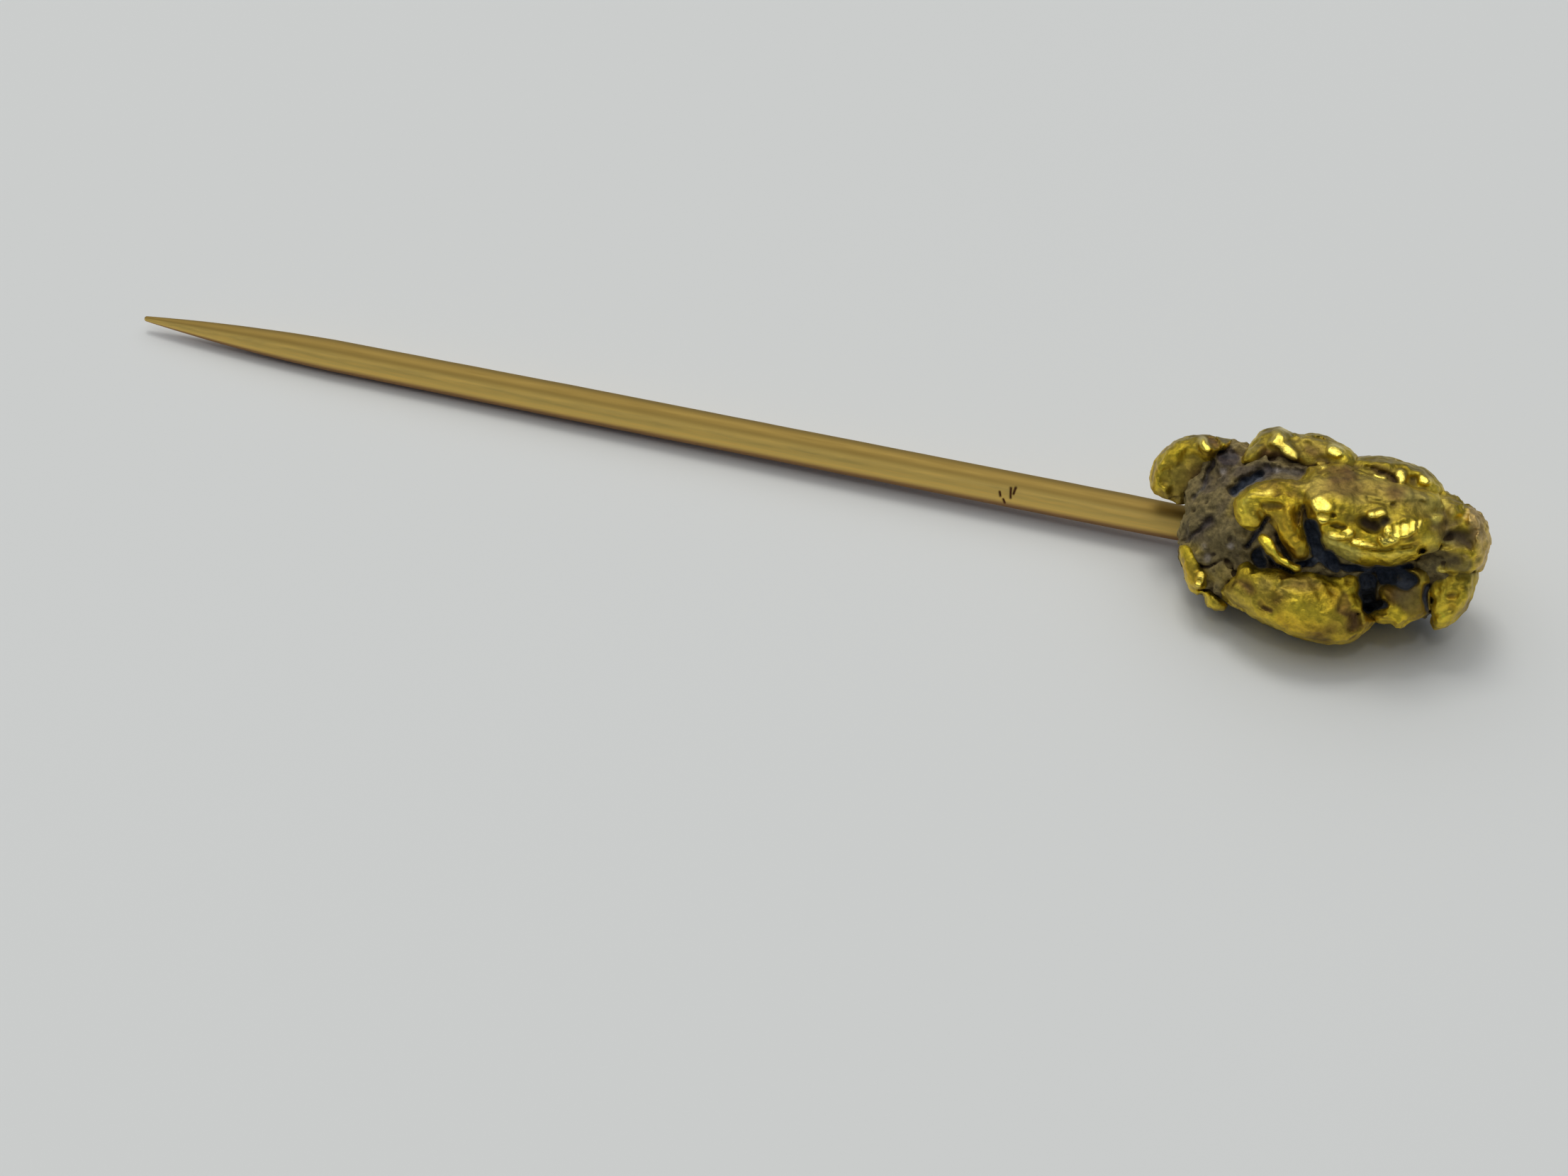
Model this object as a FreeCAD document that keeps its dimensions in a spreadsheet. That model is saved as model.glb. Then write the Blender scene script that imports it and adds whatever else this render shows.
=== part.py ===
import FreeCAD, Part
import math
import os
import Sketcher

# A stick pin: a straight round gold wire ground to a long point, with a small raw nugget on its
# other end. The pin lies at rest. X runs along the wire from the point to the nugget, Y is level
# across it, Z is up, and Z = 0 is the surface that the wire and the nugget's belly rest on.
# Lengths are in millimetres and angles in degrees.

DOC = FreeCAD.newDocument("nugget_stick_pin")
SHEET = DOC.addObject("Spreadsheet::Sheet", "sizes")

# The driving dimensions of the wire, of its solder, and of the way that the pin lies.
DRIVING = {
    "wire_radius": 0.62,
    "wire_length": 38.7,
    "straight_length": 22.0,
    "root_length": 2.0,
    "root_radius": 0.605,
    "point_length": 7.6,
    "point_start_radius": 0.58,
    "point_bulge_radius": 90.0,
    "tip_radius": 0.16,
    "shoulder_depth": 0.45,
    "peg_radius": 0.4,
    "peg_length": 2.2,
    "solder_start": 0.05,
    "solder_length": 0.9,
    "solder_rim_radius": 0.68,
    "solder_root_radius": 0.86,
    "entry_x": 14.25,
    "entry_y": 1.49,
    "entry_height": 0.895,
    "wire_dip": 0.58,
    "face_turn": 4.0,
    "face_lean": 40.0,
    "face_roll": 9.0,
}

# The nugget is masses of gold grown on a host rock. Each mass is a few lobes, and a lobe is an
# ellipsoid in the nugget's own frame, which starts where the wire enters: right along the nugget,
# up across its face, and out through its face. A lobe holds its centre (right, up, out), its
# half sizes the same way, and its roll about the out axis.
LOBE_FIELDS = ("right", "up", "out", "half_width", "half_height", "half_depth", "roll")
MASSES = {
    "left_lobe": [
        (0.4, 1.75, 1.4, 1.32, 1.20, 0.90, 15),
        (1.4, 2.15, 1.3, 0.95, 0.75, 0.80, -10),
    ],
    "ridge_knobs": [
        (3.3, 2.2, 1.7, 0.98, 0.95, 1.15, 10),
        (4.4, 2.05, 2.0, 1.20, 0.82, 1.15, -15),
        (5.4, 1.85, 2.2, 0.95, 0.66, 1.10, -25),
    ],
    "back_hump": [
        (6.6, 1.25, 2.2, 1.50, 0.90, 1.40, -8),
        (7.8, 1.0, 2.3, 1.00, 0.84, 1.20, -30),
    ],
    "main_fold": [
        (2.8, 0.5, 3.6, 0.95, 0.85, 1.00, 10),
        (3.8, -0.1, 3.9, 0.80, 1.35, 0.95, 15),
        (5.2, 0.3, 4.1, 1.20, 1.05, 1.15, -30),
        (6.6, -0.45, 4.1, 1.90, 1.00, 1.15, -12),
    ],
    "belly_lobe": [
        (4.1, -2.6, 3.12, 2.20, 1.25, 1.62, -16),
        (2.5, -2.05, 3.0, 1.10, 0.90, 1.10, -30),
        (5.5, -2.85, 3.2, 1.15, 1.08, 1.30, -5),
    ],
    "right_cap": [
        (9.1, -0.6, 2.7, 1.00, 1.15, 1.50, 1),
        (8.7, 0.2, 2.6, 1.00, 0.82, 1.30, -35),
    ],
    "foot_lobe": [
        (8.9, -2.3, 2.7, 0.92, 0.84, 0.95, 30),
        (8.6, -2.95, 2.6, 0.50, 0.56, 0.65, 20),
    ],
    "under_lumps": [
        (7.3, -2.65, 3.2, 0.90, 0.80, 0.95, 5),
        (7.6, -1.9, 3.1, 0.75, 0.70, 0.90, 5),
    ],
    "curl_strip": [
        (3.3, -1.05, 4.2, 0.75, 0.24, 0.60, -42),
    ],
    "left_grains": [
        (0.75, -1.6, 2.2, 0.42, 0.78, 0.60, 20),
        (1.4, -2.6, 2.7, 0.42, 0.38, 0.45, 5),
    ],
    "rear_fold": [
        (5.2, 0.4, 0.3, 1.90, 1.00, 0.85, -14),
        (7.2, -0.5, 0.6, 1.20, 1.05, 0.85, -10),
    ],
    # The rock fills the middle and shows at the wire, in the top crevice and at the right end.
    "host_rock": [
        (1.3, -0.65, 1.95, 1.12, 1.70, 1.70, 3),
        (4.6, -0.35, 2.5, 3.95, 2.30, 2.10, -12),
        (1.9, 1.5, 1.5, 1.15, 1.15, 1.30, 3),
        (1.6, 0.1, 0.35, 1.30, 0.95, 0.95, -9),
    ],
}
# Where two masses meet, the first keeps its shape and these give way to it.
GIVES_WAY_TO = {
    "back_hump": ["ridge_knobs"],
    "belly_lobe": ["main_fold"],
    "right_cap": ["back_hump", "main_fold"],
    "under_lumps": ["belly_lobe", "main_fold", "right_cap"],
    "foot_lobe": ["under_lumps", "right_cap"],
    "curl_strip": ["main_fold", "belly_lobe"],
    "left_grains": ["belly_lobe"],
    "rear_fold": ["back_hump", "ridge_knobs", "right_cap"],
}
ALONG_X = FreeCAD.Placement(FreeCAD.Vector(), FreeCAD.Rotation(FreeCAD.Vector(0, 1, 0), 90))


def fill_sheet():
    """Write every driving number to the sheet, one named cell each."""
    rows = list(DRIVING.items())
    for mass, lobes in MASSES.items():
        for number, lobe in enumerate(lobes, 1):
            rows += [("%s_%d_%s" % (mass, number, field), value) for field, value in zip(LOBE_FIELDS, lobe)]
    for row, (alias, value) in enumerate(rows, 1):
        SHEET.set("A%d" % row, alias)
        SHEET.set("B%d" % row, repr(value))
        SHEET.setAlias("B%d" % row, alias)
    DOC.recompute()


def size(alias):
    """Read a number back from the sheet."""
    return float(getattr(SHEET, alias))


def bind(part, **formulas):
    """Tie properties of a document object to the sheet."""
    for path, formula in formulas.items():
        part.setExpression(path, formula)
    return part


def entry_point():
    return FreeCAD.Vector(size("entry_x"), size("entry_y"), size("entry_height"))


def wire_placement():
    """The wire's frame: it starts where the wire enters the nugget, and its X runs into the nugget."""
    return FreeCAD.Placement(entry_point(), FreeCAD.Rotation(FreeCAD.Vector(0, 1, 0), -size("wire_dip")))


def nugget_placement():
    """The nugget's frame: it faces Y-, turned about Z, leaned back to look up, rolled about its face."""
    turn = FreeCAD.Rotation(FreeCAD.Vector(0, 0, 1), size("face_turn"))
    lean = FreeCAD.Rotation(FreeCAD.Vector(1, 0, 0), 90 - size("face_lean"))
    roll = FreeCAD.Rotation(FreeCAD.Vector(0, 0, 1), size("face_roll"))
    return FreeCAD.Placement(entry_point(), turn * lean * roll)


def bulged_arc(start, end, radius):
    """An arc between two points of the wire's outline, bulging away from the wire's axis."""
    chord = end - start
    sag = radius - math.sqrt(radius**2 - (chord.Length / 2) ** 2)
    outward = FreeCAD.Vector(chord.y, -chord.x, 0).normalize()
    middle = (start + end) * 0.5 + outward * sag
    return Part.Arc(start, middle, end)


def make_wire():
    """The wire, turned about its own axis: peg, shoulder, root, straight run, taper and point."""
    body = DOC.addObject("PartDesign::Body", "wire")
    sketch = body.newObject("Sketcher::SketchObject", "wire_profile")
    planes = [plane for plane in body.Origin.OriginFeatures if plane.Role == "XY_Plane"]
    sketch.AttachmentSupport = (planes[0], [""])
    sketch.MapMode = "FlatFace"
    # Each corner of the half profile: how far along the wire and how far out from its axis.
    corners = [
        ("sizes.peg_length", "0"),
        ("sizes.peg_length", "sizes.peg_radius"),
        ("sizes.shoulder_depth", "sizes.peg_radius"),
        ("sizes.shoulder_depth", "sizes.root_radius"),
        ("-sizes.root_length", "sizes.wire_radius"),
        ("-sizes.straight_length", "sizes.wire_radius"),
        ("sizes.point_length - sizes.wire_length", "sizes.point_start_radius"),
        ("sizes.tip_radius - sizes.wire_length", "sizes.tip_radius"),
        ("-sizes.wire_length", "0"),
    ]
    places = [FreeCAD.Vector(*map(SHEET.evalExpression, corner), 0) for corner in corners]
    for start, end in zip(places[:6], places[1:7]):
        sketch.addGeometry(Part.LineSegment(start, end))
    point_flank = sketch.addGeometry(bulged_arc(places[6], places[7], size("point_bulge_radius")))
    sketch.addGeometry(bulged_arc(places[7], places[8], size("tip_radius")))
    sketch.addGeometry(Part.LineSegment(places[8], places[0]))

    def lock(kind, *targets, formula):
        """Add a dimension to the sketch and tie it to the sheet."""
        dimension = sketch.addConstraint(Sketcher.Constraint(kind, *targets, SHEET.evalExpression(formula)))
        sketch.setExpression("Constraints[%d]" % dimension, formula)

    for edge, (along, across) in enumerate(corners):
        sketch.addConstraint(Sketcher.Constraint("Coincident", edge, 2, (edge + 1) % len(corners), 1))
        lock("DistanceX", -1, 1, edge, 1, formula=along)
        if across == "0":
            sketch.addConstraint(Sketcher.Constraint("PointOnObject", edge, 1, -1))
        else:
            lock("DistanceY", -1, 1, edge, 1, formula=across)
    lock("Radius", point_flank, formula="sizes.point_bulge_radius")
    turned = body.newObject("PartDesign::Revolution", "wire_turned")
    turned.Profile = sketch
    turned.ReferenceAxis = (sketch, ["H_Axis"])
    turned.Angle = 360
    body.Placement = wire_placement()
    return body


def make_lobe(mass, number):
    """One lobe of the nugget, in the nugget's frame: two half ellipsoids, joined."""
    name = "%s_%d" % (mass, number)
    formulas = {
        "Radius1": "sizes.%s_half_depth",
        "Radius2": "sizes.%s_half_width",
        "Radius3": "sizes.%s_half_height",
        "Placement.Base.x": "sizes.%s_right",
        "Placement.Base.y": "sizes.%s_up",
        "Placement.Base.z": "sizes.%s_out",
    }
    halves = []
    for side, turn in (("upper", 0), ("lower", 180)):
        half = DOC.addObject("Part::Ellipsoid", "%s_%s" % (name, side))
        half.Angle1 = -90
        half.Angle2 = 90
        half.Angle3 = 180
        roll = FreeCAD.Rotation(FreeCAD.Vector(0, 0, 1), size(name + "_roll") + turn)
        half.Placement = FreeCAD.Placement(FreeCAD.Vector(), roll)
        halves.append(bind(half, **{path: formula % name for path, formula in formulas.items()}))
    return combine(name, "Fuse", halves[0], halves[1:])


def combine(name, kind, base, others):
    """Fuse others to a base, or cut them from it, one after another."""
    for other in others:
        result = DOC.addObject("Part::" + kind, "%s_%s_%s" % (name, kind.lower(), other.Name))
        result.Base = base
        result.Tool = other
        base = result
    return base


def make_shank(name, frame):
    """The room that the wire takes up in the nugget: its root, and the peg past its shoulder."""
    root = DOC.addObject("Part::Cone", name + "_root")
    bind(root, Radius1="sizes.wire_radius", Radius2="sizes.root_radius")
    bind(root, Height="sizes.root_length + sizes.shoulder_depth")
    root.Placement = frame * FreeCAD.Placement(FreeCAD.Vector(-size("root_length"), 0, 0), ALONG_X.Rotation)
    peg = DOC.addObject("Part::Cylinder", name + "_peg")
    bind(peg, Radius="sizes.peg_radius", Height="sizes.peg_length")
    peg.Placement = frame * ALONG_X
    return combine(name, "Fuse", root, [peg])


def make_solder_cone(name, frame):
    """The outside of the solder that holds the wire in the rock."""
    cone = DOC.addObject("Part::Cone", name)
    bind(cone, Radius1="sizes.solder_rim_radius", Radius2="sizes.solder_root_radius", Height="sizes.solder_length")
    cone.Placement = frame * FreeCAD.Placement(FreeCAD.Vector(size("solder_start"), 0, 0), ALONG_X.Rotation)
    return cone


def make_solder():
    """The solder: a flared collar round the wire's shoulder, in the wire's frame."""
    here = FreeCAD.Placement()
    return combine("solder", "Cut", make_solder_cone("solder_cone", here), [make_shank("solder_bore", here)])


def make_masses():
    """The nugget's masses, each cut back from the masses, the solder and the wire that it meets."""
    wire_frame = nugget_placement().inverse() * wire_placement()
    grown = {}
    for mass, lobes in MASSES.items():
        first, *others = [make_lobe(mass, number) for number in range(1, len(lobes) + 1)]
        grown[mass] = combine(mass, "Fuse", first, others)
    masses = {}
    for mass, whole in grown.items():
        tools = [grown[other] for other in GIVES_WAY_TO.get(mass, [])]
        if mass == "host_rock":
            tools = [grown[other] for other in grown if other != mass]
            tools += [make_shank("socket", wire_frame), make_solder_cone("socket_mouth", wire_frame)]
        masses[mass] = combine(mass, "Cut", whole, tools)
    return masses


def main():
    os.makedirs("parts", exist_ok=True)
    fill_sheet()
    nodes = {"pin_stem": make_wire(), "solder_fillet": make_solder()}
    nodes["solder_fillet"].Placement = wire_placement()
    masses = make_masses()
    DOC.recompute()
    for mass, body in masses.items():
        nodes[mass] = DOC.addObject("Part::Feature", mass + "_placed")
        nodes[mass].Shape = body.Shape
        nodes[mass].Placement = nugget_placement()
    DOC.recompute()
    for item in DOC.Objects:
        if "Invalid" in item.State or "Error" in item.State:
            raise RuntimeError("%s failed: %s" % (item.Name, item.State))
    for node, body in nodes.items():
        body.Label = node
        shape = body.Shape
        if shape.isNull() or not shape.isValid():
            raise RuntimeError("%s has no valid shape" % node)
        shape.exportStep("parts/%s.step" % node)
        print("%-14s %d solid(s) %8.3f mm3" % (node, len(shape.Solids), shape.Volume))


main()
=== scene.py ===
import math

import bpy
import numpy as np
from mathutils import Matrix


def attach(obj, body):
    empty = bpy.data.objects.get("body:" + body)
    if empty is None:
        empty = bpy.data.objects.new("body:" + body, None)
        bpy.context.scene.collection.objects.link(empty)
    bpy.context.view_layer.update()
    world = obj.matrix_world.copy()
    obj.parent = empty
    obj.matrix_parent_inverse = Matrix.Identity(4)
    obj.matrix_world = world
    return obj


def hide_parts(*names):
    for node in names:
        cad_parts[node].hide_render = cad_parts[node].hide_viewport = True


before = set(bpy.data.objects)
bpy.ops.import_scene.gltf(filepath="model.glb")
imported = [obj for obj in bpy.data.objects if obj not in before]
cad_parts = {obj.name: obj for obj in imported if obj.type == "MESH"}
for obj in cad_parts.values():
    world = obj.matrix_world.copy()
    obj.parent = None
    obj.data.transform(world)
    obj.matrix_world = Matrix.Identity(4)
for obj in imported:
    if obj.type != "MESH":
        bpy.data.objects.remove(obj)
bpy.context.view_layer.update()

import openvdb
from mathutils import Matrix, Vector

MM = 0.001
SEED = 7

# ---------------------------------------------------------------- frames

# The wire enters the nugget here (mm), and the nugget's own frame is turned about that point.
ENTRY = np.array([14.25, 1.49, 0.895])
WIRE_DIP = math.radians(0.58)
FACE_TURN, FACE_LEAN, FACE_ROLL = (math.radians(angle) for angle in (4.0, 40.0, 9.0))

CAMERA_PLACE = np.array([24.992, -74.719, 66.16])
CAMERA_TURN = math.radians(18.0)
CAMERA_TILT = math.radians(42.0)
CAMERA_LENS = 67.866
SENSOR = 36.0


def unit_axes(turn, lean, roll=0.0):
    """Right, up and outward axes of a frame turned about Z, leaning back, then rolled."""
    right = np.array([math.cos(turn), math.sin(turn), 0.0])
    out = np.array(
        [math.sin(turn) * math.cos(lean), -math.cos(turn) * math.cos(lean), math.sin(lean)]
    )
    up = np.cross(out, right)
    rolled_right = right * math.cos(roll) + up * math.sin(roll)
    rolled_up = up * math.cos(roll) - right * math.sin(roll)
    return rolled_right, rolled_up, out


NUGGET_RIGHT, NUGGET_UP, NUGGET_OUT = unit_axes(FACE_TURN, FACE_LEAN, FACE_ROLL)
NUGGET_AXES = np.stack([NUGGET_RIGHT, NUGGET_UP, NUGGET_OUT])
# Where the nugget is looked at from, in the nugget's frame. The sculpting grid fans out from
# here, so a shape drawn on the FACE_LEVEL plane lies along one line of sight.
EYE = NUGGET_AXES @ (CAMERA_PLACE - ENTRY)
FACE_LEVEL = 3.5

# ---------------------------------------------------------------- sculpting grid

# Lengths in mm.
VOXEL = 0.05
GRID_LOW = np.array([-1.25, -4.4, -1.2])
GRID_COUNT = np.array([238, 160, 142])
across, upward, outward = (
    (GRID_LOW[axis] + VOXEL * np.arange(GRID_COUNT[axis])).astype(np.float32) for axis in range(3)
)
# Room kept round a lobe, more of it sideways for the spreading lines of sight, and the distance
# written where no lobe reaches.
MARGIN = 0.45
SIDE_ROOM = 0.2
FAR = 1.0
# The height given to a line of sight that meets nothing, and a height that all real ones pass.
MISSED = -9.0
LOWEST = -5.0


def spread(out):
    """How much a line of sight has spread at this level, compared with the face plane."""
    return (out - EYE[2]) / (FACE_LEVEL - EYE[2])


def to_nugget(points):
    """Grid coordinates (across, upward, outward) to the nugget's frame."""
    growth = spread(points[:, 2])
    right = EYE[0] + (points[:, 0] - EYE[0]) * growth
    up = EYE[1] + (points[:, 1] - EYE[1]) * growth
    return np.stack([right, up, points[:, 2]], axis=1)


def from_nugget(right, up, out):
    """The nugget's frame to grid coordinates, for one point."""
    growth = spread(out)
    return np.array([EYE[0] + (right - EYE[0]) / growth, EYE[1] + (up - EYE[1]) / growth, out])


def to_world(points):
    """Grid coordinates to metres in the row frame."""
    return (ENTRY + to_nugget(points) @ NUGGET_AXES) * MM


def window(low, high):
    """Slices of the grid that hold a box given in grid coordinates."""
    first = np.floor((np.asarray(low) - GRID_LOW) / VOXEL).astype(int)
    last = np.ceil((np.asarray(high) - GRID_LOW) / VOXEL).astype(int) + 1
    first = np.clip(first, 0, GRID_COUNT)
    last = np.clip(last, 0, GRID_COUNT)
    return tuple(slice(a, b) for a, b in zip(first, last))


def smooth_min(a, b, width):
    """The union of two fields, rounded over where they meet."""
    mix = np.clip(0.5 + 0.5 * (b - a) / width, 0.0, 1.0)
    return b + (a - b) * mix - width * mix * (1.0 - mix)


def round_max(a, b, radius):
    """The part common to two fields, its edge rounded to this radius."""
    inner = np.minimum(np.maximum(a, b) + radius, 0.0)
    outer = np.hypot(np.maximum(a + radius, 0.0), np.maximum(b + radius, 0.0))
    return inner + outer - radius


def lobe_field(lobe, cells):
    """Signed distance (nearly) to an ellipsoid: right, up, out, half sizes, roll in degrees."""
    right, up, out, half_right, half_up, half_out, roll = lobe
    growth = spread(outward[cells[2]])
    aside = EYE[0] + (across[cells[0], None, None] - EYE[0]) * growth - right
    above = EYE[1] + (upward[None, cells[1], None] - EYE[1]) * growth - up
    cosine, sine = math.cos(math.radians(roll)), math.sin(math.radians(roll))
    x = (aside * cosine + above * sine) / half_right
    y = (above * cosine - aside * sine) / half_up
    z = (outward[cells[2]] - out) / half_out
    reach = np.sqrt(x * x + y * y + z * z) + 1e-4
    slope = np.sqrt((x / half_right) ** 2 + (y / half_up) ** 2 + (z / half_out) ** 2) + 1e-4
    return reach * (reach - 1.0) / slope


def lobe_box(lobe):
    """A box in grid coordinates round an ellipsoid."""
    right, up, out, half_right, half_up, half_out, _ = lobe
    half = max(half_right, half_up) + SIDE_ROOM
    centre = from_nugget(right, up, out)
    size = np.array([half, half, half_out]) + MARGIN
    return centre - size, centre + size


def add_lobes(field, lobes, width):
    """Join ellipsoids to a field."""
    for lobe in lobes:
        cells = window(*lobe_box(lobe))
        field[cells] = smooth_min(field[cells], lobe_field(lobe, cells), width)
    return field


def weights(places, spacing):
    """Cubic B-spline weights that carry a coarse row of numbers to these places."""
    shifted = (places - places[0]) / spacing + 1.0
    count = int(shifted[-1]) + 4
    table = np.zeros((len(places), count), np.float32)
    rows = np.arange(len(places))
    base = shifted.astype(int)
    part = shifted - base
    spline = [
        (1 - part) ** 3 / 6,
        (3 * part**3 - 6 * part**2 + 4) / 6,
        (-3 * part**3 + 3 * part**2 + 3 * part + 1) / 6,
        part**3 / 6,
    ]
    for step, weight in enumerate(spline):
        table[rows, base + step - 1] += weight
    return table


# These bring smoothed random numbers back to about -1 to 1.
NOISE_GAIN, FLAT_NOISE_GAIN = 2.2, 1.8


def noise(spacing, seed, stretch=(1.0, 1.0, 1.0)):
    """Smooth random lumps over the whole grid, about -1 to 1, of this size in mm."""
    random = np.random.RandomState(SEED * 100 + seed)
    tables = [
        weights(axis, spacing * factor) for axis, factor in zip((across, upward, outward), stretch)
    ]
    lattice = random.uniform(-1.0, 1.0, [table.shape[1] for table in tables]).astype(np.float32)
    for axis, table in enumerate(tables):
        lattice = np.moveaxis(np.tensordot(table, lattice, axes=(1, axis)), 0, axis)
    return lattice * NOISE_GAIN


# ---------------------------------------------------------------- flat drawing on the face

# Strokes, outlines and dents are drawn on the face plane as (across, upward), in mm.
PLAN_X = across[:, None]
PLAN_Y = upward[None, :]


def flat_noise(spacing, seed):
    """Smooth random lumps on the face plane, about -1 to 1."""
    random = np.random.RandomState(SEED * 1000 + seed)
    rows, columns = weights(across, spacing), weights(upward, spacing)
    lattice = random.uniform(-1.0, 1.0, (rows.shape[1], columns.shape[1])).astype(np.float32)
    return rows @ lattice @ columns.T * FLAT_NOISE_GAIN


# Drawn lines are bent a little by these, so no dent has a ruled edge.
BEND_X = 0.06 * flat_noise(0.4, 1) + 0.035 * flat_noise(0.16, 2)
BEND_Y = 0.06 * flat_noise(0.4, 3) + 0.035 * flat_noise(0.16, 4)
WIDTH_SPREAD = 1.0 + 0.3 * flat_noise(0.3, 5)
OUTLINE_BEND = 0.35
FACET_BEND = 1.3


def line_distance(points, bend=1.0):
    """Distance on the face plane from an open line of (across, upward) points."""
    place_x, place_y = PLAN_X + bend * BEND_X, PLAN_Y + bend * BEND_Y
    nearest = np.full((len(across), len(upward)), np.inf, np.float32)
    points = [points[0]] + list(points) if len(points) == 1 else points
    for (x0, y0), (x1, y1) in zip(points, points[1:]):
        dx, dy = x1 - x0, y1 - y0
        along = ((place_x - x0) * dx + (place_y - y0) * dy) / max(dx * dx + dy * dy, 1e-6)
        along = np.clip(along, 0.0, 1.0)
        gap = np.hypot(place_x - x0 - along * dx, place_y - y0 - along * dy)
        nearest = np.minimum(nearest, gap)
    return nearest


def outline_field(points):
    """Signed distance on the face plane from a closed outline, negative inside."""
    closed = list(points) + [points[0]]
    distance = line_distance(closed, OUTLINE_BEND)
    place_x, place_y = PLAN_X + OUTLINE_BEND * BEND_X, PLAN_Y + OUTLINE_BEND * BEND_Y
    inside = np.zeros(distance.shape, bool)
    for (x0, y0), (x1, y1) in zip(closed, closed[1:]):
        if y0 == y1:
            continue
        crosses = (place_y > min(y0, y1)) & (place_y <= max(y0, y1))
        side = place_x < x0 + (place_y - y0) * (x1 - x0) / (y1 - y0)
        inside ^= crosses & side
    return np.where(inside, -distance, distance)


# The share of a flat stroke's half width that slopes.
FLAT_EDGE = 0.45


def profile(kind, ratio):
    """How a stroke's height falls from its middle line (ratio 0) to its edge (ratio 1)."""
    ratio = np.clip(ratio, 0.0, 1.0)
    if kind == "round":
        return (1.0 - ratio**2) ** 2
    if kind == "sharp":
        return (1.0 - ratio) ** 1.5
    edge = np.clip((1.0 - ratio) / FLAT_EDGE, 0.0, 1.0)
    return edge * edge * (3.0 - 2.0 * edge)


def stroke_map(strokes, deepest=False):
    """Heights (mm) drawn on the face: (kind, height, half width, points), added or deepest kept."""
    total = np.zeros((len(across), len(upward)), np.float32)
    for kind, height, half_width, points in strokes:
        ratio = line_distance(points) / (half_width * WIDTH_SPREAD)
        stroke = height * profile(kind, ratio)
        total = np.maximum(total, stroke) if deepest else total + stroke
    return total


# A facet stands this far (mm) above the middle of its line. It cuts or fills no more than this,
# and it fades out a little past its own half width.
FACET_LIFT = 0.03
FACET_CUT, FACET_FILL = -0.4, 0.16
FACET_FADE = 1.35


def facet_map(facets, front):
    """How far to move a front surface (mm) so that each facet lies flat at the rubbed slope."""
    total = np.zeros(front.shape, np.float32)
    for half_width, points in facets:
        x, y = np.mean(points, axis=0)
        column = int(round((x - GRID_LOW[0]) / VOXEL))
        row = int(round((y - GRID_LOW[1]) / VOXEL))
        plane = front[column, row] + FACET_LIFT
        plane = plane + RUBBED_SLOPE[0] * (PLAN_X - x) + RUBBED_SLOPE[1] * (PLAN_Y - y)
        ratio = line_distance(points, FACET_BEND) / (half_width * FACET_FADE)
        total += np.clip(plane - front - total, FACET_CUT, FACET_FILL) * profile("flat", ratio)
    return total


# ---------------------------------------------------------------- the nugget's shapes

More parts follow.
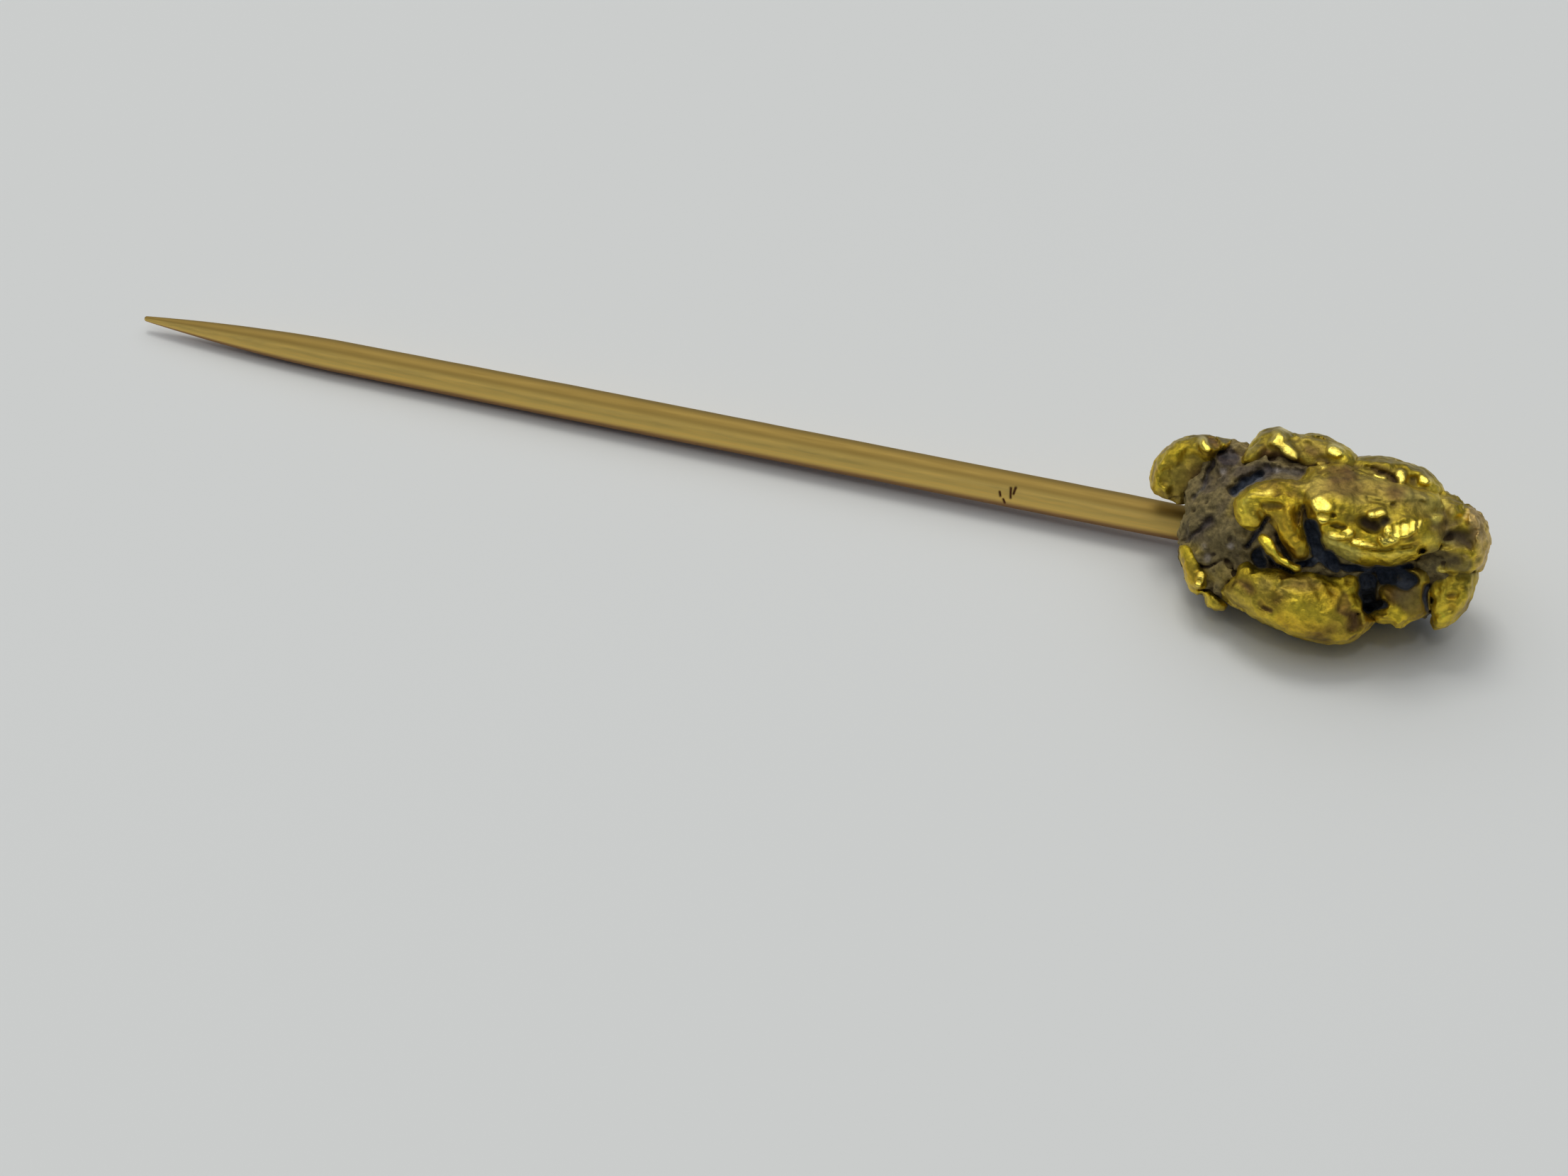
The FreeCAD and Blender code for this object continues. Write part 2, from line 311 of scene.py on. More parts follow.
# Ellipsoids are (right, up, out, half sizes, roll in degrees) in the nugget's frame.
LOBES = {
    "left_lobe": [
        (0.38, 1.75, 1.4, 1.40, 1.25, 0.95, 15),
        (1.5, 2.28, 1.7, 0.98, 0.60, 0.85, -12),
    ],
    "ridge_knobs": [
        (3.3, 2.2, 1.7, 0.98, 0.95, 1.15, 10),
        (4.4, 2.05, 2.0, 1.20, 0.82, 1.15, -15),
        (5.4, 1.85, 2.2, 0.95, 0.66, 1.10, -25),
        (2.75, 2.1, 1.9, 0.75, 0.42, 1.00, 25),
    ],
    "back_hump": [
        (6.6, 1.25, 2.2, 1.50, 0.90, 1.40, -8),
        (7.8, 1.0, 2.3, 1.00, 0.84, 1.20, -30),
    ],
    "main_fold": [
        (2.8, 0.5, 3.6, 0.95, 0.85, 1.00, 10),
        (3.8, -0.1, 3.9, 0.80, 1.35, 0.95, 15),
        (3.9, 0.9, 3.6, 1.00, 0.60, 1.05, 0),
    ],
    "main_fold_plate": [
        (5.2, 0.3, 4.1, 1.20, 1.05, 1.15, -30),
        (6.6, -0.25, 3.9, 2.10, 1.20, 1.25, -8),
        (6.6, 0.55, 3.2, 2.20, 1.00, 1.35, -8),
        (5.0, 0.95, 3.1, 1.15, 0.85, 1.50, -5),
        (8.0, 0.0, 3.2, 0.95, 0.95, 1.15, -20),
        (5.1, 1.35, 2.7, 1.10, 0.62, 1.35, -5),
    ],
    "belly_lobe": [
        (4.1, -2.6, 3.12, 2.20, 1.25, 1.62, -16),
        (2.5, -2.05, 3.0, 1.10, 0.90, 1.10, -30),
        (5.5, -2.85, 3.2, 1.15, 1.08, 1.30, -5),
        (1.95, -2.25, 2.7, 0.80, 0.42, 0.85, -28),
        (5.4, -2.1, 3.2, 0.90, 0.70, 1.05, 10),
    ],
    "right_cap": [
        (9.1, -0.6, 2.7, 1.08, 1.22, 1.50, 1),
        (8.7, 0.2, 2.6, 1.05, 0.86, 1.30, -35),
    ],
    "foot_lobe": [
        (8.9, -2.3, 2.7, 0.92, 0.84, 0.95, 30),
        (8.6, -2.95, 2.6, 0.50, 0.56, 0.65, 20),
        (9.0, -1.8, 2.5, 0.85, 0.60, 1.05, 15),
    ],
    "under_lumps": [
        (7.3, -2.65, 3.2, 0.90, 0.80, 0.95, 5),
        (7.6, -1.9, 3.1, 0.75, 0.70, 0.90, 5),
        (6.7, -2.5, 2.0, 0.95, 0.80, 1.05, -10),
        (8.1, -2.3, 2.2, 0.70, 0.80, 1.00, 10),
    ],
    "curl_strip": [(3.45, -1.02, 4.25, 1.00, 0.42, 0.50, -42)],
    "left_grains": [
        (0.72, -1.5, 2.55, 0.50, 0.95, 0.78, 18),
        (1.4, -2.6, 2.7, 0.42, 0.38, 0.45, 5),
    ],
    "rear_fold": [
        (5.2, 0.4, 0.3, 1.90, 1.00, 0.85, -14),
        (7.2, -0.5, 0.6, 1.20, 1.05, 0.85, -10),
    ],
    "host_rock": [
        (1.3, -0.65, 1.95, 1.12, 1.70, 1.70, 3),
        (4.6, -0.35, 2.5, 3.95, 2.30, 2.10, -12),
        (1.9, 1.5, 1.5, 1.15, 1.15, 1.30, 3),
        (1.6, 0.1, 0.35, 1.30, 0.95, 0.95, -9),
        (1.1, 0.85, 1.7, 0.85, 0.75, 1.25, 20),
        (1.7, -1.75, 2.45, 0.95, 0.85, 1.20, -25),
        (8.2, -1.2, 2.7, 1.30, 1.00, 1.30, 0),
        (6.6, -2.3, 1.5, 1.10, 0.95, 1.00, 0),
        (8.2, -2.3, 1.7, 0.80, 0.75, 0.95, 0),
        (0.75, 0.05, 1.1, 0.42, 0.62, 0.75, 5),
        (3.4, 1.6, 2.3, 1.30, 0.60, 1.20, 0),
    ],
}

# The edge of each fold as it is seen against the folds behind it, on the face plane (mm).
OUTLINES = {
    "left_lobe": [
        (0.14, 0.52), (0.02, 0.62), (-0.38, 0.79), (-0.66, 0.92), (-0.78, 1.08), (-0.82, 1.48),
        (-0.62, 1.92), (-0.3, 2.4), (0.02, 2.66), (0.34, 2.78), (0.7, 2.9), (1.1, 2.94),
        (1.5, 2.84), (1.95, 2.68), (1.8, 2.4), (1.5, 2.3), (1.35, 2.0), (1.25, 1.5),
        (0.98, 1.08), (0.62, 0.75), (0.35, 0.5),
    ],
    "ridge_knobs": [
        (2.08, 1.85), (2.2, 2.2), (2.58, 2.7), (2.78, 2.96), (3.1, 3.1), (3.42, 3.13),
        (3.66, 3.06), (3.86, 2.94), (4.02, 2.86), (4.22, 2.84), (4.5, 2.9), (4.9, 2.86),
        (5.1, 2.74), (5.3, 2.58), (5.5, 2.44), (5.7, 2.32), (5.9, 2.14), (6.1, 1.2),
        (4.9, 1.1), (4.2, 1.2), (4.16, 1.6), (4.0, 1.92), (3.5, 2.0), (2.9, 1.94), (2.6, 1.8),
        (2.3, 1.74),
    ],
    "back_hump": [
        (5.2, 1.5), (5.5, 2.1), (5.95, 2.15), (6.55, 2.17), (7.0, 2.1), (7.55, 1.98),
        (8.0, 1.77), (8.3, 1.54), (8.6, 1.25), (8.67, 0.98), (8.7, 0.3), (5.2, 0.3),
    ],
    "main_fold": [
        (1.98, 0.84), (2.18, 1.02), (2.46, 1.22), (2.7, 1.34), (3.02, 1.39), (3.5, 1.39),
        (4.0, 1.4), (4.7, 1.4), (4.7, 0.7), (4.22, 0.5), (4.14, 0.0), (4.3, -0.4), (4.48, -0.84),
        (4.46, -1.15), (4.28, -1.28), (4.0, -1.2), (3.7, -0.84), (3.4, -0.44), (3.24, -0.1),
        (3.08, 0.08), (2.92, -0.05), (2.76, -0.42), (2.56, -0.54), (2.3, -0.34), (2.1, -0.04),
        (1.94, 0.28), (1.91, 0.6),
    ],
    "main_fold_plate": [
        (4.0, 0.95), (4.3, 0.6), (4.34, 0.4), (4.42, 0.12), (4.62, -0.2), (4.78, -0.52),
        (4.94, -0.84), (5.14, -1.04), (5.42, -1.24), (5.82, -1.36), (6.5, -1.4), (7.2, -1.38),
        (7.7, -1.2), (8.0, -1.05), (8.5, -0.9), (8.8, -0.1), (8.9, 0.4), (8.5, 0.95), (7.5, 1.25),
        (6.6, 1.5), (6.0, 1.8), (5.5, 1.95), (4.95, 1.95), (4.4, 1.85), (4.1, 1.6), (4.0, 1.44),
    ],
    "belly_lobe": [
        (1.55, -2.2), (1.8, -1.98), (2.1, -1.8), (2.2, -1.4), (2.35, -1.1), (2.6, -1.12),
        (2.72, -1.42), (3.2, -1.38), (3.6, -1.4), (3.9, -1.62), (4.2, -1.55), (4.42, -1.4),
        (4.6, -1.25), (4.78, -1.3), (4.9, -1.52), (5.1, -1.7), (5.4, -1.74), (5.6, -1.5),
        (6.1, -1.4), (6.2, -1.75), (6.02, -2.3), (6.08, -2.85), (6.3, -3.05), (6.5, -3.22),
        (6.34, -3.4), (6.1, -3.6), (5.94, -3.76), (5.7, -3.9), (5.3, -3.95), (4.9, -3.92),
        (4.4, -3.82), (4.0, -3.72), (3.5, -3.5), (3.0, -3.3), (2.6, -3.1), (2.4, -2.97),
        (1.9, -2.75), (1.6, -2.5),
    ],
    "right_cap": [
        (8.0, 0.9), (8.75, 0.92), (9.1, 0.75), (9.4, 0.54), (9.67, 0.45), (9.94, 0.2),
        (10.07, -0.17), (10.15, -0.48), (10.1, -0.98), (10.0, -1.32), (9.82, -1.6),
        (9.4, -1.95), (8.8, -2.0), (8.1, -1.9), (7.7, -1.4), (7.5, -0.4),
    ],
    "foot_lobe": [
        (8.2, -1.6), (9.0, -1.3), (9.75, -1.5), (9.84, -1.8), (9.69, -2.02), (9.55, -2.4),
        (9.4, -2.75), (9.1, -3.13), (8.78, -3.38), (8.36, -3.48), (8.28, -3.2), (8.28, -2.8),
        (8.12, -2.3),
    ],
    "under_lumps": [
        (6.62, -1.75), (6.6, -2.2), (6.85, -2.6), (6.6, -2.88), (6.3, -2.95), (6.32, -3.15),
        (6.6, -3.22), (7.0, -3.28), (7.15, -3.4), (7.28, -3.38), (7.4, -3.22), (8.0, -3.05),
        (8.3, -2.95), (8.3, -1.4), (7.6, -1.3), (7.0, -1.5),
    ],
    "curl_strip": [
        (2.76, -0.52), (2.9, -0.4), (3.08, -0.46), (3.42, -0.92), (3.75, -1.2), (4.14, -1.42),
        (4.16, -1.56), (3.98, -1.62), (3.5, -1.36), (3.1, -1.0), (2.82, -0.7),
    ],
    "left_grains": [
        (0.24, -0.8), (0.24, -1.0), (0.3, -1.3), (0.42, -1.65), (0.46, -1.95), (0.62, -2.25),
        (0.82, -2.36), (1.0, -2.25), (1.1, -2.5), (1.12, -2.75), (1.4, -2.86), (1.72, -2.86),
        (1.82, -2.7), (1.5, -2.42), (1.24, -2.2), (1.24, -1.8), (1.0, -1.45), (0.8, -1.1),
        (0.65, -0.8), (0.4, -0.72),
    ],
}

# Edge rounding (mm) where an outline trims a fold.
EDGE = {
    "curl_strip": 0.12,
    "main_fold": 0.26,
    "main_fold_plate": 0.28,
    "left_grains": 0.2,
    "belly_lobe": 0.3,
    "foot_lobe": 0.3,
    "under_lumps": 0.3,
    "ridge_knobs": 0.3,
}
DEFAULT_EDGE = 0.4
# How far a fold's lobes are grown before its outline trims them.
OUTLINE_GROWTH = 0.17

# Dents and bumps of each fold: (kind, height, half width, line on the face plane), all mm.
RELIEF = {
    "left_lobe": [
        ("flat", -0.3, 0.85, [(0.42, 1.4), (0.6, 1.5)]),
        ("sharp", 0.2, 0.26, [(1.02, 2.9), (1.14, 2.3)]),
        ("flat", -0.22, 0.24, [(1.28, 2.72), (1.42, 2.56)]),
        ("round", 0.14, 0.18, [(1.4, 2.42), (1.95, 2.6)]),
    ],
    "ridge_knobs": [
        ("round", 0.14, 0.28, [(2.2, 1.95), (2.7, 2.3)]),
        ("sharp", 0.26, 0.34, [(3.58, 3.05), (3.42, 2.6), (3.62, 2.36), (4.0, 2.16)]),
        ("round", -0.16, 0.3, [(3.9, 2.78), (4.15, 2.45)]),
        ("round", 0.18, 0.3, [(5.2, 2.36)]),
        ("round", -0.22, 0.17, [(4.6, 2.8), (4.78, 2.7)]),
        ("round", -0.14, 0.18, [(4.35, 2.5)]),
        ("round", 0.12, 0.2, [(4.75, 1.88)]),
        ("sharp", -0.2, 0.12, [(4.45, 1.7), (4.95, 1.78)]),
    ],
    "back_hump": [
        ("sharp", -0.2, 0.14, [(6.25, 1.78), (6.7, 1.62), (7.1, 1.45)]),
        ("round", 0.2, 0.25, [(7.28, 1.5)]),
        ("round", 0.14, 0.25, [(8.05, 1.4)]),
        ("round", 0.12, 0.15, [(6.6, 1.43)]),
        ("round", -0.22, 0.18, [(7.65, 1.4), (7.8, 1.38)]),
        ("sharp", 0.1, 0.14, [(5.95, 2.1), (6.6, 1.95), (7.3, 1.9), (8.0, 1.65)]),
    ],
    "main_fold": [
        ("round", 0.08, 0.16, [(2.5, 0.78), (3.0, 0.8), (3.5, 0.74)]),
        ("round", -0.14, 0.2, [(2.95, 0.56), (3.45, 0.52)]),
        ("sharp", -0.3, 0.24, [(3.06, 0.12), (3.0, -0.1)]),
        ("round", -0.12, 0.24, [(2.75, 0.35), (3.02, 0.1)]),
        ("round", 0.12, 0.36, [(3.7, 0.4), (3.85, -0.4), (4.2, -1.0)]),
        ("round", -0.2, 0.3, [(4.28, 0.5), (4.18, 0.0)]),
        ("round", -0.08, 0.1, [(2.8, 1.14), (3.6, 1.16)]),
    ],
    "main_fold_plate": [
        ("round", 0.1, 0.45, [(4.78, 0.55)]),
        ("round", 0.05, 0.2, [(4.82, 0.18)]),
        ("round", -0.2, 0.15, [(5.14, 0.24)]),
        ("sharp", -0.22, 0.14, [(5.1, -0.1), (5.5, -0.1)]),
        ("round", 0.12, 0.2, [(5.6, -0.34)]),
        ("round", 0.08, 0.2, [(5.25, -0.38), (5.45, -0.35)]),
        ("round", 0.1, 0.22, [(6.4, 0.26), (6.8, 0.34)]),
        ("round", 0.06, 0.15, [(6.8, 0.33)]),
        ("round", -0.42, 0.36, [(6.2, -0.02), (6.5, -0.12)]),
        ("round", -0.2, 0.16, [(6.5, 0.08), (6.85, 0.1)]),
        ("round", 0.14, 0.13, [(5.88, -0.62), (6.4, -0.7)]),
        ("flat", 0.14, 0.42, [(6.98, -0.36), (7.45, -0.18)]),
        ("sharp", -0.13, 0.12, [(5.8, -0.78), (6.5, -0.82), (7.2, -0.86), (7.6, -0.78)]),
        ("round", -0.4, 0.17, [(7.96, -1.0)]),
        ("round", -0.05, 0.16, [(4.9, 1.12), (5.7, 1.06), (6.5, 0.9)]),
        ("round", 0.05, 0.14, [(6.6, 1.05), (7.4, 0.95), (8.1, 0.8)]),
        ("round", -0.06, 0.16, [(5.6, 0.72), (6.3, 0.68), (7.0, 0.56)]),
        ("round", -0.07, 0.14, [(7.5, 0.62), (8.5, 0.5)]),
        ("round", -0.14, 0.17, [(7.9, 0.36), (8.7, 0.3)]),
        ("round", -0.14, 0.14, [(7.1, 0.55)]),
        ("sharp", -0.15, 0.12, [(4.9, 1.5), (5.15, 1.58), (5.55, 1.64), (5.9, 1.6), (6.3, 1.44)]),
    ],
    "belly_lobe": [
        ("round", -0.1, 0.28, [(2.42, -2.0), (2.5, -2.15)]),
        ("round", -0.1, 0.15, [(2.92, -2.78), (3.22, -2.8)]),
        ("round", -0.08, 0.24, [(3.5, -2.2), (4.0, -2.0), (4.7, -2.0)]),
        ("round", -0.06, 0.22, [(5.54, -2.35), (5.48, -2.8)]),
        ("round", -0.26, 0.36, [(5.86, -2.98), (5.86, -3.36)]),
        ("round", 0.12, 0.2, [(4.66, -1.42)]),
        ("round", 0.1, 0.2, [(2.12, -2.25)]),
        ("sharp", -0.2, 0.12, [(1.4, -2.3), (1.9, -2.66), (2.4, -2.9)]),
        ("round", -0.06, 0.3, [(3.9, -3.2)]),
        ("round", 0.06, 0.3, [(3.1, -1.8), (3.4, -1.9)]),
    ],
    "right_cap": [
        ("round", -0.42, 0.5, [(8.95, -0.45), (9.3, -0.42)]),
        ("round", 0.14, 0.16, [(8.9, 0.3), (9.2, 0.24)]),
        ("round", 0.12, 0.13, [(9.3, -1.2), (9.5, -1.1)]),
        ("round", -0.14, 0.13, [(8.2, -1.3), (8.4, -1.36)]),
        ("round", -0.12, 0.13, [(9.2, -1.6), (9.4, -1.62)]),
        ("round", -0.22, 0.24, [(8.6, -1.25), (9.1, -1.22)]),
        ("round", 0.14, 0.14, [(8.0, -0.6), (8.9, -0.66)]),
        ("round", 0.12, 0.13, [(8.1, -0.95), (9.0, -0.95)]),
        ("round", 0.2, 0.25, [(8.48, 0.12)]),
        ("round", 0.16, 0.25, [(8.55, -1.53)]),
        ("round", -0.2, 0.13, [(8.57, -1.83)]),
        ("round", 0.14, 0.3, [(9.55, 0.2), (9.82, -0.2), (9.88, -0.8), (9.78, -1.3)]),
        ("round", -0.14, 0.24, [(9.6, 0.1), (9.3, 0.15)]),
    ],
    "foot_lobe": [
        ("round", -0.14, 0.24, [(8.9, -2.36), (9.0, -2.36)]),
        ("round", -0.3, 0.2, [(8.3, -2.55)]),
        ("round", 0.12, 0.24, [(8.55, -3.25), (9.0, -2.9), (9.35, -2.3)]),
    ],
    "under_lumps": [
        ("round", 0.14, 0.22, [(6.7, -1.9), (6.85, -2.2), (7.1, -2.45)]),
        ("round", 0.16, 0.17, [(7.22, -3.28)]),
        ("round", 0.2, 0.16, [(6.4, -3.0), (6.8, -3.0)]),
        ("round", -0.1, 0.4, [(7.6, -2.7)]),
    ],
    "left_grains": [
        ("round", 0.16, 0.24, [(0.98, -1.72), (0.9, -2.0)]),
        ("round", -0.2, 0.1, [(0.56, -2.13)]),
        ("sharp", -0.26, 0.12, [(0.9, -2.2), (1.15, -2.2)]),
    ],
}

# Rubbed flat facets, all worn at one slope (to the right, upward): (half width, line), mm.
RUBBED_SLOPE = (0.02, -0.62)
FACETS = {
    "left_lobe": [(0.16, [(1.04, 2.66), (1.1, 2.48)])],
    "ridge_knobs": [
        (0.2, [(3.48, 2.8), (3.4, 2.6)]),
        (0.17, [(3.6, 2.42), (3.86, 2.2)]),
        (0.2, [(5.12, 2.42), (5.3, 2.28)]),
        (0.1, [(4.7, 1.92), (4.85, 1.88)]),
    ],
    "back_hump": [
        (0.17, [(7.2, 1.56), (7.32, 1.42)]),
        (0.13, [(8.0, 1.44), (8.12, 1.34)]),
        (0.1, [(6.5, 1.45), (6.7, 1.42)]),
    ],
    "main_fold_plate": [
        (0.26, [(4.66, 0.66), (4.86, 0.5)]),
        (0.14, [(4.8, 0.22), (4.88, 0.12)]),
        (0.17, [(5.56, -0.32), (5.66, -0.36)]),
        (0.12, [(5.14, -0.36), (5.4, -0.4)]),
        (0.13, [(6.36, 0.22), (6.56, 0.28)]),
        (0.14, [(6.66, 0.3), (6.82, 0.34)]),
        (0.1, [(5.86, -0.6), (6.14, -0.66)]),
        (0.09, [(6.22, -0.66), (6.5, -0.72)]),
        (0.2, [(6.84, -0.56), (7.1, -0.52)]),
        (0.12, [(6.88, -0.14), (6.94, -0.34)]),
        (0.14, [(7.16, -0.16), (7.2, -0.42)]),
        (0.15, [(7.42, -0.1), (7.44, -0.38)]),
        (0.13, [(7.68, -0.04), (7.64, -0.26)]),
        (0.1, [(7.9, 0.0), (7.86, -0.12)]),
    ],
    "right_cap": [(0.13, [(8.4, 0.14), (8.54, 0.1)]), (0.1, [(8.5, -1.5), (8.62, -1.54)])],
    "left_grains": [(0.15, [(0.98, -1.66), (0.94, -1.78)]), (0.13, [(0.92, -1.94), (0.86, -2.04)])],
}

# Rubbed high spots that catch the light, smoother and painted paler as painted highlights: every
# facet, and a few edges beside them.
POLISH_AND_GLINT_STROKES = [("flat", 1.0, *facet) for mass in FACETS.values() for facet in mass]
POLISH_AND_GLINT_STROKES += [
    ("round", 0.8, 0.14, [(3.66, 3.05), (3.5, 2.95)]),
    ("round", 0.6, 0.1, [(6.0, -0.98), (6.9, -1.04), (7.6, -0.98)]),
    ("round", 0.6, 0.12, [(2.3, 0.62), (2.6, 0.86), (3.2, 0.98)]),
]

# Deep gaps between the folds, cut down from the surface: (kind, depth, half width, line).
GAPS = [
    ("flat", 0.95, 0.3, [(4.52, -0.14), (4.58, -0.6), (4.72, -0.95)]),
    ("flat", 0.9, 0.3, [(4.95, -1.15), (5.25, -1.5)]),
    ("flat", 0.7, 0.15, [(4.08, -1.4), (4.45, -1.36), (4.8, -1.15)]),
    ("flat", 0.7, 0.24, [(2.76, -1.06), (2.92, -1.25)]),
    ("round", 0.75, 0.34, [(2.0, 1.04), (2.32, 1.3), (2.75, 1.5)]),
    ("round", 0.26, 0.3, [(2.7, 1.6), (3.4, 1.68), (4.05, 1.62)]),
    ("round", 0.3, 0.15, [(1.32, 2.0), (1.12, 1.5), (0.96, 1.1), (0.62, 0.78)]),
    ("flat", 0.95, 0.34, [(6.28, -1.85), (6.3, -2.7)]),
    ("flat", 0.85, 0.22, [(6.55, -2.65), (6.75, -2.62)]),
    ("flat", 0.95, 0.3, [(6.8, -1.66), (7.3, -1.72), (7.55, -1.95)]),
    ("round", 0.6, 0.16, [(8.16, -2.1), (8.12, -2.55), (8.2, -3.0)]),
    ("flat", 0.7, 0.12, [(5.5, -1.46), (6.3, -1.5), (7.6, -1.44)]),
    ("sharp", 0.6, 0.18, [(2.98, 0.08), (2.84, -0.2), (2.62, -0.5), (2.42, -0.76)]),
    ("sharp", 0.4, 0.13, [(3.3, -0.45), (3.86, -1.16)]),
    ("sharp", 0.5, 0.13, [(2.84, -0.84), (3.5, -1.43), (3.92, -1.66)]),
    ("round", 0.24, 0.16, [(0.46, -0.65), (0.62, -0.45), (0.94, -0.15), (1.25, 0.08)]),
    ("sharp", 0.25, 0.1, [(0.95, -1.38), (1.26, -1.38), (1.65, -1.2)]),
    ("round", 0.25, 0.3, [(1.62, 2.3), (1.95, 2.1)]),
]

# ---------------------------------------------------------------- building the fields


def grid_window(name):
    """The cells a mass can reach."""
    boxes = [lobe_box(lobe) for lobe in LOBES[name]]
    low = np.min([box[0] for box in boxes], axis=0)
    high = np.max([box[1] for box in boxes], axis=0)
    return window(low, high)


def front_height(field, levels):
    """Where each line of sight first meets a field from outside, or MISSED."""
    inside = field < 0.0
    last = field.shape[2] - 1 - np.argmax(inside[:, :, ::-1], axis=2)
    last = np.minimum(last, field.shape[2] - 2)
    rows = np.arange(field.shape[0])[:, None]
    columns = np.arange(field.shape[1])[None, :]
    here = field[rows, columns, last]
    above = field[rows, columns, last + 1]
    height = levels[last] + VOXEL * here / np.minimum(here - above, -1e-6)
    return np.where(inside.any(axis=2), height, MISSED)


LUMPS = noise(1.1, 1)
DENTS = noise(0.5, 2)
GRAIN = noise(0.24, 3)
PITTING = noise(0.13, 4)
STREAKS = noise(0.3, 5, stretch=(4.0, 0.6, 1.5))

# How strongly each mass takes up the lumps, dents, grain and pitting (mm).
ROUGHNESS = {
    "host_rock": (0.05, 0.17, 0.15, 0.09),
    "left_grains": (0.02, 0.05, 0.05, 0.03),
    "right_cap": (0.05, 0.13, 0.13, 0.09),
    "under_lumps": (0.05, 0.10, 0.09, 0.05),
    "foot_lobe": (0.05, 0.07, 0.06, 0.03),
}
GOLD_ROUGHNESS = (0.05, 0.06, 0.065, 0.036)
# Masses with fine ridges along them as well, and their height (mm).
RIDGED = ("main_fold", "back_hump", "right_cap")
RIDGE_HEIGHT = 0.04
# The mean size of the dents and the grain, taken off so that they don't swell a mass.
MEAN_DENT = 0.4

# Rubbed spots are smoother by this share.
SMOOTHING = 0.85
POLISH_AND_GLINT = stroke_map(POLISH_AND_GLINT_STROKES, deepest=True)
CALM = (1.0 - SMOOTHING * POLISH_AND_GLINT)[:, :, None]


def height_field(axis):
    """One world coordinate (mm) over the whole grid."""
    growth = spread(outward)
    right = EYE[0] + (across[:, None, None] - EYE[0]) * growth
    up = EYE[1] + (upward[None, :, None] - EYE[1]) * growth
    place = right * NUGGET_RIGHT[axis] + up * NUGGET_UP[axis] + outward * NUGGET_OUT[axis]
    return (ENTRY[axis] + place).astype(np.float32)


# The nugget stays within the part's own box: its back, its right end, its top and the table (mm).
BACK_LIMIT, END_LIMIT, TOP_LIMIT, TABLE_LIMIT = 3.42, 24.6, 5.6, 0.02
LIMIT_ROUNDING = 0.3
HEIGHTS = height_field(2)
LIMITS = np.maximum(height_field(1) - BACK_LIMIT, height_field(0) - END_LIMIT)
LIMITS = np.maximum(LIMITS, np.maximum(HEIGHTS - TOP_LIMIT, TABLE_LIMIT - HEIGHTS))
# How widely lobes melt together, and how widely the fold melts into its plate (mm).
LOBE_JOIN, PLATE_JOIN = 0.25, 0.12


def build_field(name):
    """The mass's own field before the deep gaps are cut."""
    whole = shaped_lobes(name)
    if name == "main_fold":
        whole = smooth_min(whole, shaped_lobes("main_fold_plate"), PLATE_JOIN)
    lumps, dents, grain, pits = ROUGHNESS.get(name, GOLD_ROUGHNESS)
    rough = lumps * LUMPS + dents * (np.abs(DENTS) - MEAN_DENT)
    rough += grain * (np.abs(GRAIN) - MEAN_DENT) + pits * PITTING
    if name in RIDGED:
        rough += RIDGE_HEIGHT * STREAKS
    whole += rough * CALM
    return round_max(whole, LIMITS, LIMIT_ROUNDING)


def shaped_lobes(name):
    """The lobes of a mass, joined and trimmed to the mass's outline if it has one."""
    whole = add_lobes(np.full(GRID_COUNT, FAR, np.float32), LOBES[name], LOBE_JOIN)
    return trim(whole, name) if name in OUTLINES else whole


# How fast dents and bumps fade where a fold's flank turns away from its face, how deep below
# the front they end, and the height over which they end (mm).
STEEP_FADE = 0.14
RELIEF_DEPTH, RELIEF_END = 0.9, 0.5


def trim(field, name):
    """Trim a fold to its outline, then press its dents and bumps into its front."""
    outline = outline_field(OUTLINES[name])[:, :, None]
    edge = EDGE.get(name, DEFAULT_EDGE)
    field = round_max(field - OUTLINE_GROWTH, outline, edge)
    front = front_height(field, outward)
    rise_x, rise_y = np.gradient(front, VOXEL)
    facing = (front > LOWEST) / (1.0 + STEEP_FADE * (rise_x**2 + rise_y**2))
    move = stroke_map(RELIEF.get(name, []))
    move = (move + facet_map(FACETS.get(name, []), front + move)) * facing
    near = np.clip((outward - (front[:, :, None] - RELIEF_DEPTH)) / RELIEF_END, 0.0, 1.0)
    return field - move[:, :, None] * near


# A gap's floor is uneven by this share of its depth, and its walls count as no steeper than this.
GAP_UNEVENNESS = 0.15
STEEPEST_WALL = 5.0


def gap_cut(front, gap_depth):
    """The field that cuts the deep gaps down from the nugget's front."""
    floor_height = front - gap_depth * (1.0 + GAP_UNEVENNESS * flat_noise(0.25, 6))
    slope_x, slope_y = np.gradient(floor_height, VOXEL)
    steepness = np.sqrt(1.0 + np.minimum(slope_x**2 + slope_y**2, STEEPEST_WALL**2))
    cut = (outward - floor_height[:, :, None]) / steepness[:, :, None]
    return np.where(front[:, :, None] < LOWEST, -FAR, cut).astype(np.float32)


PIECES = [name for name in LOBES if name != "main_fold_plate"]
fields = {name: build_field(name) for name in PIECES}
GAP_DEPTH = stroke_map(GAPS, deepest=True)
cut = gap_cut(front_height(np.minimum.reduce(list(fields.values())), outward), GAP_DEPTH)
touched = (GAP_DEPTH > 0.01)[:, :, None]
for name in PIECES:
    # The thin strip bridges a gap, so it isn't cut.
    if name != "curl_strip":
        fields[name] = np.where(touched, np.maximum(fields[name], cut), fields[name])
union = np.minimum.reduce(list(fields.values()))
FRONT = front_height(union, outward)


